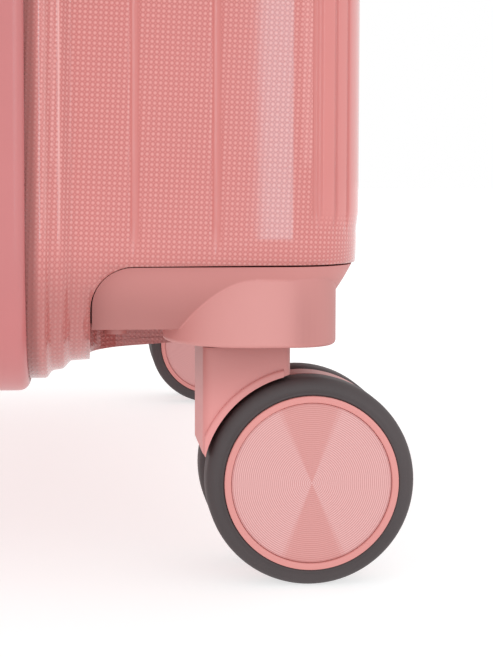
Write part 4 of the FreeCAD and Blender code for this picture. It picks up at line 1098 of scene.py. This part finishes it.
def folds(place):
    """Depth of the cloth's shallow folds at a place, from 0 to 1."""
    x, z = place.x, place.z
    slow = math.sin(x * 31 + 1.7 * math.sin(z * 17)) * math.sin(z * 23 + 2.1 * math.sin(x * 13))
    fast = math.sin(x * 83 + z * 47 + 2 * math.sin(z * 29)) * 0.35
    return max(0.0, min(1.0, 0.5 + 0.42 * slow + fast * 0.5))


def tray_block(name, low, high, back):
    """A closed block whose upright edges and whose edges round the floor at back are rounded."""
    work = box_between(low, high)
    uprights = [e for e in work.edges if abs(e.verts[0].co.y - e.verts[1].co.y) > 10 * MM]
    bmesh.ops.bevel(work, geom=uprights, offset=CORNER - LINING_INSET, segments=10, profile=0.5, affect="EDGES")
    at_floor = [e for e in work.edges if all(abs(v.co.y - back) < SAME_PLACE for v in e.verts)]
    bmesh.ops.bevel(work, geom=at_floor, offset=TRAY_EDGE, segments=4, profile=0.5, affect="EDGES")
    return add_object(name, finished_mesh(work, name, outwards=False, smooth=False))


def soften(piece):
    """An even mesh with soft edges."""
    remesh = piece.modifiers.new("even", "REMESH")
    remesh.mode, remesh.voxel_size = "VOXEL", CLOTH_GRID
    smooth = piece.modifiers.new("soften", "SMOOTH")
    smooth.factor, smooth.iterations = 0.5, 3
    apply_modifiers(piece)


def fold_and_open(piece, front, side):
    """Presses folds into the cloth and takes the open side off; returns the cloth's area."""
    work = bmesh.new()
    work.from_mesh(piece.data)
    work.normal_update()
    moved = {v: v.normal * folds(v.co) * FOLD_DEPTH for v in work.verts if side * (v.co.y - front) > FOLD_START}
    for vert, fold in moved.items():
        vert.co -= fold
    bmesh.ops.bisect_plane(work, geom=work.verts[:] + work.edges[:] + work.faces[:], plane_co=(0, front, 0),
                           plane_no=(0, -side, 0), clear_outer=True)
    area = sum(face.calc_area() for face in work.faces)
    piece.data = finished_mesh(work, piece.name, outwards=False)
    return area


def lining_tray(node, body, side):
    """One half's lining, with its flat size, its area and the depth of its free edge."""
    low, high = corners_of(node)
    front, back = (low.y, high.y) if side > 0 else (high.y, low.y)
    y = sorted((front - side * TRAY_SPARE, back))
    piece = tray_block(node + "_cloth", (low.x, y[0], low.z), (high.x, y[1], high.z), back)
    cut_with(piece, [("DIFFERENCE", housing_cutter(sign, side, HOUSING_MARGIN)) for sign in (-1, 1)])
    soften(piece)
    area = fold_and_open(piece, front, side)
    wall = piece.modifiers.new("cloth", "SOLIDIFY")
    wall.thickness, wall.offset = CLOTH_THICKNESS, -1.0
    apply_modifiers(piece)
    tray = new_piece(node + "_cloth_tray", piece.data, body, lining_finish, (node,))
    bpy.data.objects.remove(piece)
    depth = abs(back - front)
    print(tray.name, len(tray.data.polygons), "faces, %.3f m2" % area)
    return tray, (high.x - low.x + 2 * depth, high.z - low.z + 2 * depth), area, front


print("lining starts %.1f mm inside the frame's outline" % (LINING_INSET / MM))

# %% [markdown]
# The tray's free edge is bound with a folded tape. The tape is a closed section swept round the case's outline, with a
# row of stitches down its middle.

# %% Bound hems
HEM_WIDTH, HEM_THICKNESS = 9 * MM, 1.0 * MM

def hem_section(inset, start):
    """The folded tape's section: a round fold over the cloth's edge, and two flaps."""
    thick, end = HEM_THICKNESS, start + HEM_WIDTH
    points = rounded((inset + 0.45 * MM, start - 0.2 * MM + thick), thick + 0.35 * MM, 190, 350, 8)
    points += [(inset + 1.35 * MM + thick * 0.35, end), (inset + 1.05 * MM, end + 0.2 * MM),
               (inset + 1.0 * MM, start + 1.2 * MM), (inset - 0.2 * MM, start + 1.2 * MM)]
    return points + [(inset - 0.25 * MM, end + 0.2 * MM), (inset - 0.7 * MM, end)]


def bound_hem(body, side, front):
    """The tape round a tray's free edge, and its stitches."""
    start = side * front
    tape = swept_mesh(body + "_hem", hem_section(LINING_INSET, start), frame_stations, side)
    hem = new_piece(body + "_lining_hem", tape, body, binding_finish)
    stitch = block_mesh(0.45 * MM, 0.45 * MM, 2.4 * MM, 0.2 * MM)
    inset, depth = LINING_INSET + 1.75 * MM, start + 0.6 * HEM_WIDTH
    places = [s.at(inset, depth, side) for s in even_outline(6 * MM, 14)]
    seam = repeat_along(body + "_hem_stitches", places, 3.6 * MM, stitch, thread_finish, body, True)
    return hem, seam


for node, body, side in (("base_lining", "base", 1), ("lid_lining", "lid", -1)):
    tray, flat, area, front = lining_tray(node, body, side)
    trimmings = bound_hem(body, side, front)
    print(body, "lining and", len(trimmings), "trimmings")

# %% [markdown]
# ## Divider panel
# The lid half is closed by a padded panel with piping round its edge, a zipped pocket and crossed quilting lines. It
# could be a plane under the cloth simulation with pressure, but a pillow is also a formula: two skins pushed apart,
# that drop to the seam at the edge, at the zip and at each quilting line.

# %% Padded divider
panel_low, panel_high = corners_of("divider_panel")
PANEL_INSET = HALF_WIDTH - panel_high.x
PANEL_Y = (panel_low.y + panel_high.y) / 2
PANEL_CORNER = CORNER - PANEL_INSET
PANEL_GRID = 4.5 * MM
PANEL_X, PANEL_Z = HALF_WIDTH - PANEL_INSET, HALF_HEIGHT - PANEL_INSET   # half its size
ZIP_Z = MIDDLE_Z + 0.27 * 2 * HALF_HEIGHT
QUILT_PITCH = 62 * MM
SEAM_THICKNESS, PILLOW = 0.55, 1.0     # half thicknesses, in mm

def edge_distance(x, z):
    """How far a place on the panel is from its rounded outline."""
    dx, dz = max(0.0, abs(x) - (PANEL_X - PANEL_CORNER)), max(0.0, abs(z - MIDDLE_Z) - (PANEL_Z - PANEL_CORNER))
    return PANEL_CORNER - math.hypot(dx, dz) if dx and dz else min(PANEL_X - abs(x), PANEL_Z - abs(z - MIDDLE_Z))


def panel_bulge(x, z):
    """Half thickness of the padding: a pillow that drops at its edge, the zip and the quilting lines."""
    lines = [abs((way / QUILT_PITCH) % 1.0 - 0.5) for way in (x + z, x - z)]
    quilted = z < ZIP_Z - 8 * MM
    quilt = min(1.0, min(0.5 - lines[0], 0.5 - lines[1]) * QUILT_PITCH / (7 * MM)) if quilted else 1.0
    at_zip = min(1.0, abs(z - ZIP_Z) / (9 * MM))
    rise = min(1.0, max(0.0, edge_distance(x, z)) / (12 * MM))
    pillow = math.sqrt(rise) * (0.35 + 0.65 * math.sqrt(max(0.0, quilt)) * at_zip)
    return (SEAM_THICKNESS + PILLOW * pillow) * MM


def flat_panel():
    """The panel's outline cut into small squares, as a flat bmesh."""
    work = bmesh.new()
    work.faces.new([work.verts.new(s.at(PANEL_INSET, 0.0, 1)) for s in even_outline(5 * MM, 10)])
    x = spread(-PANEL_X, PANEL_X, PANEL_GRID)[1:-1]
    z = spread(MIDDLE_Z - HALF_HEIGHT + PANEL_INSET, MIDDLE_Z + HALF_HEIGHT - PANEL_INSET, PANEL_GRID)[1:-1]
    for places, across in ((x, Vector((1, 0, 0))), (z, Vector((0, 0, 1)))):
        for place in places:
            bmesh.ops.bisect_plane(work, geom=work.verts[:] + work.edges[:] + work.faces[:],
                                   plane_co=across * place, plane_no=across)
    bmesh.ops.triangulate(work, faces=[f for f in work.faces if len(f.verts) > 4])
    return work


def padded_panel():
    """Two bulging skins joined round their border."""
    flat = flat_panel()
    places = [v.co.copy() for v in flat.verts]
    faces = [[v.index for v in f.verts] for f in flat.faces]
    border = [[v.index for v in e.verts] for e in flat.edges if e.is_boundary]
    flat.free()
    count = len(places)
    verts = [(c.x, PANEL_Y + way * panel_bulge(c.x, c.z), c.z) for way in (-1, 1) for c in places]
    sides = faces + [[i + count for i in reversed(f)] for f in faces]
    sides += [[a, b, b + count, a + count] for a, b in border]
    skins = bpy.data.meshes.new("skins")
    skins.from_pydata(verts, [], sides)
    work = bmesh.new()
    work.from_mesh(skins)
    bpy.data.meshes.remove(skins)
    return finished_mesh(work, "divider_panel_padded")


panel = new_piece("divider_panel_padded", padded_panel(), "lid", divider_finish, ("divider_panel",))
print("divider faces", len(panel.data.polygons))

# %% [markdown]
# Piping hides the panel's seam, and a zip runs across both of its faces. The zip's tape is a flat block, its teeth and
# the two rows of stitches repeat along the same line, and a pull tab hangs at the front.

# %% Piping and zip
HALF_ZIP = HALF_WIDTH - PANEL_INSET - 36 * MM
ZIP_PROUD = 1.7 * MM
STITCH_ROW = 6 * MM

def moved_block(sizes, edge, place, segments=2):
    """A rounded block put in its place."""
    data = block_mesh(*sizes, edge, segments)
    data.transform(Matrix.Translation(place))
    return data


def zip_face(label, way):
    """Tape, teeth and stitches of the zip on one face of the panel."""
    y = PANEL_Y + way * ZIP_PROUD
    line = [Vector((-HALF_ZIP, y, ZIP_Z)), Vector((HALF_ZIP, y, ZIP_Z))]
    tape = moved_block((2 * HALF_ZIP + 8 * MM, 0.7 * MM, 16 * MM), 0.2 * MM, (0, y - way * 0.5 * MM, ZIP_Z))
    new_piece("divider_zip_tape_" + label, tape, "lid", webbing_finish)
    tooth = block_mesh(3.4 * MM, 1.5 * MM, 1.0 * MM, 0.3 * MM)
    repeat_along("divider_zip_teeth_" + label, line, 1.9 * MM, tooth, steel_finish, "lid")
    for row in (-STITCH_ROW, STITCH_ROW):
        seam = [p + Vector((0, way * 0.05 * MM, row)) for p in line]
        stitch = block_mesh(0.4 * MM, 0.4 * MM, 2.3 * MM, 0.15 * MM)
        repeat_along("divider_zip_stitches_%s_%d" % (label, row > 0), seam, 3.4 * MM, stitch, thread_finish,
                     "lid")


piping_section = rounded((PANEL_INSET + 0.4 * MM, -PANEL_Y), 1.7 * MM, 0, 340, 16)
piping = swept_mesh("divider_piping", piping_section, frame_stations, -1)
new_piece("divider_piping", piping, "lid", binding_finish)
zip_face("front", 1)
zip_face("back", -1)
pull = moved_block((5.5 * MM, 1.6 * MM, 22 * MM), 0.7 * MM,
                   (-HALF_ZIP + 14 * MM, PANEL_Y + 2.9 * MM, ZIP_Z - 10 * MM), 3)
new_piece("divider_zip_pull", pull, "lid", rose_metal)
print("zip %.0f mm long" % (2 * HALF_ZIP / MM))

# %% [markdown]
# ## Packing straps
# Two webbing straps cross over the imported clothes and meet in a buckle. Each is a flat ribbon, so it is modelled as one
# with thick rounded edges. A slight sag in the middle keeps it from looking like a bar.

# %% Straps and buckle
strap_high = corners_of("packing_straps")[1]
STRAP_HALF, STRAP_THICKNESS, STRAP_EDGE = 18 * MM, 0.7 * MM, 0.5 * MM
STRAPS = ((1, 32, 4 * MM), (0, -32, 6 * MM))   # 1 for the falling strap, its turn in degrees, its depth
STRAP_SECTION = ((-STRAP_HALF, 0.0), (-STRAP_HALF + STRAP_EDGE, STRAP_THICKNESS),
                 (STRAP_HALF - STRAP_EDGE, STRAP_THICKNESS), (STRAP_HALF, 0.0),
                 (STRAP_HALF - STRAP_EDGE, -STRAP_THICKNESS), (-STRAP_HALF + STRAP_EDGE, -STRAP_THICKNESS))

def strap_directions(turn):
    """How fast a strap falls per metre, and the direction across it."""
    angle = math.radians(turn)
    return math.tan(angle), Vector((math.sin(angle), 0.0, math.cos(angle)))


def strap_ribbon(name, turn, depth):
    """One ribbon from wall to wall, turned about the middle of the case; its ends are cut upright."""
    reach = strap_high.x - 1 * MM
    slope, across = strap_directions(turn)
    work = bmesh.new()
    rings = []
    for x in spread(-reach, reach, 6 * MM):
        sag = 0.8 * MM * math.sin(3 * math.pi * x / reach) * (1 - (x / reach) ** 2)
        middle = Vector((x, depth + sag, MIDDLE_Z - x * slope))
        upright = across.x if abs(x) > reach - 1e-6 else 0.0
        rings.append([work.verts.new(middle + across * w + Vector((-w * upright, t, 0))) for w, t in STRAP_SECTION])
    for here, there in zip(rings, rings[1:]):
        join_rows(work, here, there)
    work.faces.new(rings[0])
    work.faces.new(list(reversed(rings[-1])))
    for face in work.faces:
        face.smooth = len(face.verts) == 4
    return finished_mesh(work, name, smooth=False)


def strap_stitches(falling, turn, depth):
    """Two rows of stitches down each arm of a strap."""
    slope, across = strap_directions(turn)
    for start, end in ((-0.92, -0.2), (0.2, 0.92)):
        for row in (-15.5 * MM, 15.5 * MM):
            run = [Vector((strap_high.x * t, depth + 0.75 * MM, MIDDLE_Z - strap_high.x * t * slope)) + across * row
                   for t in (start, end)]
            repeat_along("strap_stitches_%d_%d_%d" % (falling, start > 0, row > 0), run, 4.2 * MM,
                         block_mesh(0.5 * MM, 0.5 * MM, 2.8 * MM, 0.2 * MM), thread_finish, "base")


for falling, turn, depth in STRAPS:
    name = "falling_strap" if falling else "rising_strap"
    strap = new_piece(name, strap_ribbon(name, turn, depth), "base", webbing_finish,
                      ("packing_straps",) if falling else ())
    print(name, len(strap.data.polygons), "faces")
buckle = moved_block((46 * MM, 5.2 * MM, 46 * MM), 1.2 * MM, (0, 5.0 * MM, MIDDLE_Z), 3)
new_piece("strap_buckle", buckle, "base", gasket_finish)
for strap in STRAPS:
    strap_stitches(*strap)

# %% [markdown]
# ## Numbers on the lock's dials
# Each dial carries the digits 0 to 9 round its rim. A digit is Blender's own lettering turned into a mesh and stood
# against the rim. All ten of a dial become one mesh, so they ride on the dial and turn with it.

# %% Dial numbers
DIGIT_SIZE = 3.1 * MM
DIGIT_PROUD = 0.05 * MM

def digit_mesh(digit):
    """One digit as a thin mesh about its own middle."""
    text = bpy.data.curves.new("digit", "FONT")
    text.body, text.size, text.extrude, text.resolution_u = str(digit), DIGIT_SIZE, DIGIT_PROUD, 3
    text.align_x, text.align_y = "CENTER", "CENTER"
    lettering = add_object("digit", text)
    data = evaluated_mesh(lettering)
    bpy.data.objects.remove(lettering)
    return data


def dial_numbers(dial):
    """The ten digits of one dial, upright round its rim."""
    low, high = corners_of(dial)
    centre, radius = (low + high) / 2, (high.y - low.y) / 2
    work = bmesh.new()
    for digit in range(10):
        angle = digit * math.pi / 5
        out = Vector((math.cos(angle), math.sin(angle), 0.0))
        facing = Matrix(((-out.y, 0, out.x), (out.x, 0, out.y), (0, 1, 0))).to_4x4()
        data = digit_mesh(digit)
        data.transform(Matrix.Translation(centre + out * (radius + 0.6 * DIGIT_PROUD)) @ facing)
        work.from_mesh(data)
    bmesh.ops.remove_doubles(work, verts=work.verts, dist=MERGE / 2)
    return finished_mesh(work, dial + "_numbers", outwards=False, smooth=False)


for index in (1, 2, 3):
    numbers = new_piece("dial_%d_numbers" % index, dial_numbers("lock_dial_%d" % index), "dial_%d" % index,
                        gasket_finish)
    print(numbers.name, len(numbers.data.polygons), "faces")

# %% [markdown]
# ## Finishes on the carried-over parts
# The remaining hard parts keep their CAD shape and only take a finish, chosen by the slot that the record gives them.
# The forks and the screws of the housings take the fork moulding, with painted shadow darkening it towards the top
# under the bosses.

# %% Assign finishes
FINISHES = {
    "pink_moulding": housing_finish, "steel": steel_finish, "gasket": gasket_finish, "tube": tube_finish,
    "rose_metal": rose_metal, "grip": grip_finish, "pink_frame": frame_finish, "pink_shell": shell_finish,
    "tyre": tyre_finish, "rose_hub": hub_finish, "lining": gasket_finish, "webbing": gasket_finish,
}
slot_of = {part["node"]: part["material_slot"] for part in frame["record"]["subparts"]}
for name, node in frame["nodes"].items():
    node.data.materials.clear()
    like_fork = name.endswith(("_fork", "_housing_screws"))
    node.data.materials.append(fork_finish if like_fork else FINISHES[slot_of[name]])
print("carried-over parts:", len(frame["nodes"]))

# %% [markdown]
# ## Studio
# The set is a white sweep with two large soft lights and one tall strip light, which draws the bright band on the
# shell. The sweep glows a little, so that it stays white beside the pink case.

# %% Floor, lights and world
LIGHTS = (  # name, place, what it aims at, size, watts, tint
    ("key", (1.6, -1.2, 1.4), (0.15, 0.05, 0.1), (1.2, 1.2), 3.5, (1.0, 1.0, 1.0)),
    ("strip", (1.59, 0.497, 0.365), (0.18, 0.08, 0.12), (0.098, 0.73), 0.88, (0.3, 1.0, 1.12)),
    ("fill", (1.5, 0.95, 0.5), (0.18, 0.08, 0.12), (0.5, 0.8), 1.6, (1.0, 1.0, 1.0)),
)
FLOOR_REACH = 6.0
FLOOR_GREY, FLOOR_GLOW = 0.45, 0.66

def area_light(name, place, aim, size, watts, tint):
    """A soft rectangular light that faces what it aims at."""
    data = bpy.data.lights.new(name, "AREA")
    data.shape = "RECTANGLE"
    data.size, data.size_y = size
    data.energy, data.color = watts, tint
    lamp = add_object(name, data)
    lamp.location = place
    lamp.rotation_euler = (Vector(place) - Vector(aim)).to_track_quat("Z", "Y").to_euler()


def floor():
    """A large pale square that belongs to the set, not to the suitcase."""
    finish = Finish("white_sweep", (FLOOR_GREY, FLOOR_GREY, FLOOR_GREY), 0.7,
                    Emission_Color=(1.0, 1.0, 1.0, 1.0), Emission_Strength=FLOOR_GLOW)
    data = bpy.data.meshes.new("floor")
    corners = [(x * FLOOR_REACH, y * FLOOR_REACH, 0) for x, y in ((-1, -1), (1, -1), (1, 1), (-1, 1))]
    data.from_pydata(corners, [], [(0, 1, 2, 3)])
    data.materials.append(finish.material)
    add_object("floor", data)


floor()
world = bpy.data.worlds.new("studio")
world.use_nodes = True
background = world.node_tree.nodes["Background"].inputs
background["Color"].default_value = (1, 1, 1, 1)
background["Strength"].default_value = 1.0
bpy.context.scene.world = world
bpy.context.scene.view_settings.view_transform = "Standard"
for light in LIGHTS:
    area_light(*light)
print("lights:", [light[0] for light in LIGHTS])

# %% [markdown]
# ## Camera
# The camera stands square on to the narrow side, close to the lower corner, and looks a little right and down. A
# small shift keeps the uprights nearly upright, as an architectural lens would.

# %% Camera
LENS = 82.4
SHIFT = 0.12
CAMERA_REACH = 385 * MM                # from the near wheel's face
CAMERA_Y, CAMERA_Z = 29.3 * MM, 110.6 * MM
YAW, PITCH = math.radians(3.34), math.radians(3.25)

camera_data = bpy.data.cameras.new("camera")
camera_data.lens = LENS
camera_data.shift_x, camera_data.shift_y = SHIFT, -SHIFT
camera_data.clip_start = 0.01
camera = add_object("camera", camera_data)
camera.location = (corners_of("back_right_outer_hub")[1].x + CAMERA_REACH, CAMERA_Y, CAMERA_Z)
camera.rotation_euler = Euler((math.pi / 2 - PITCH, 0.0, math.pi / 2 - YAW), "XYZ")
bpy.context.scene.camera = camera
print("camera at", [round(v, 3) for v in camera.location])
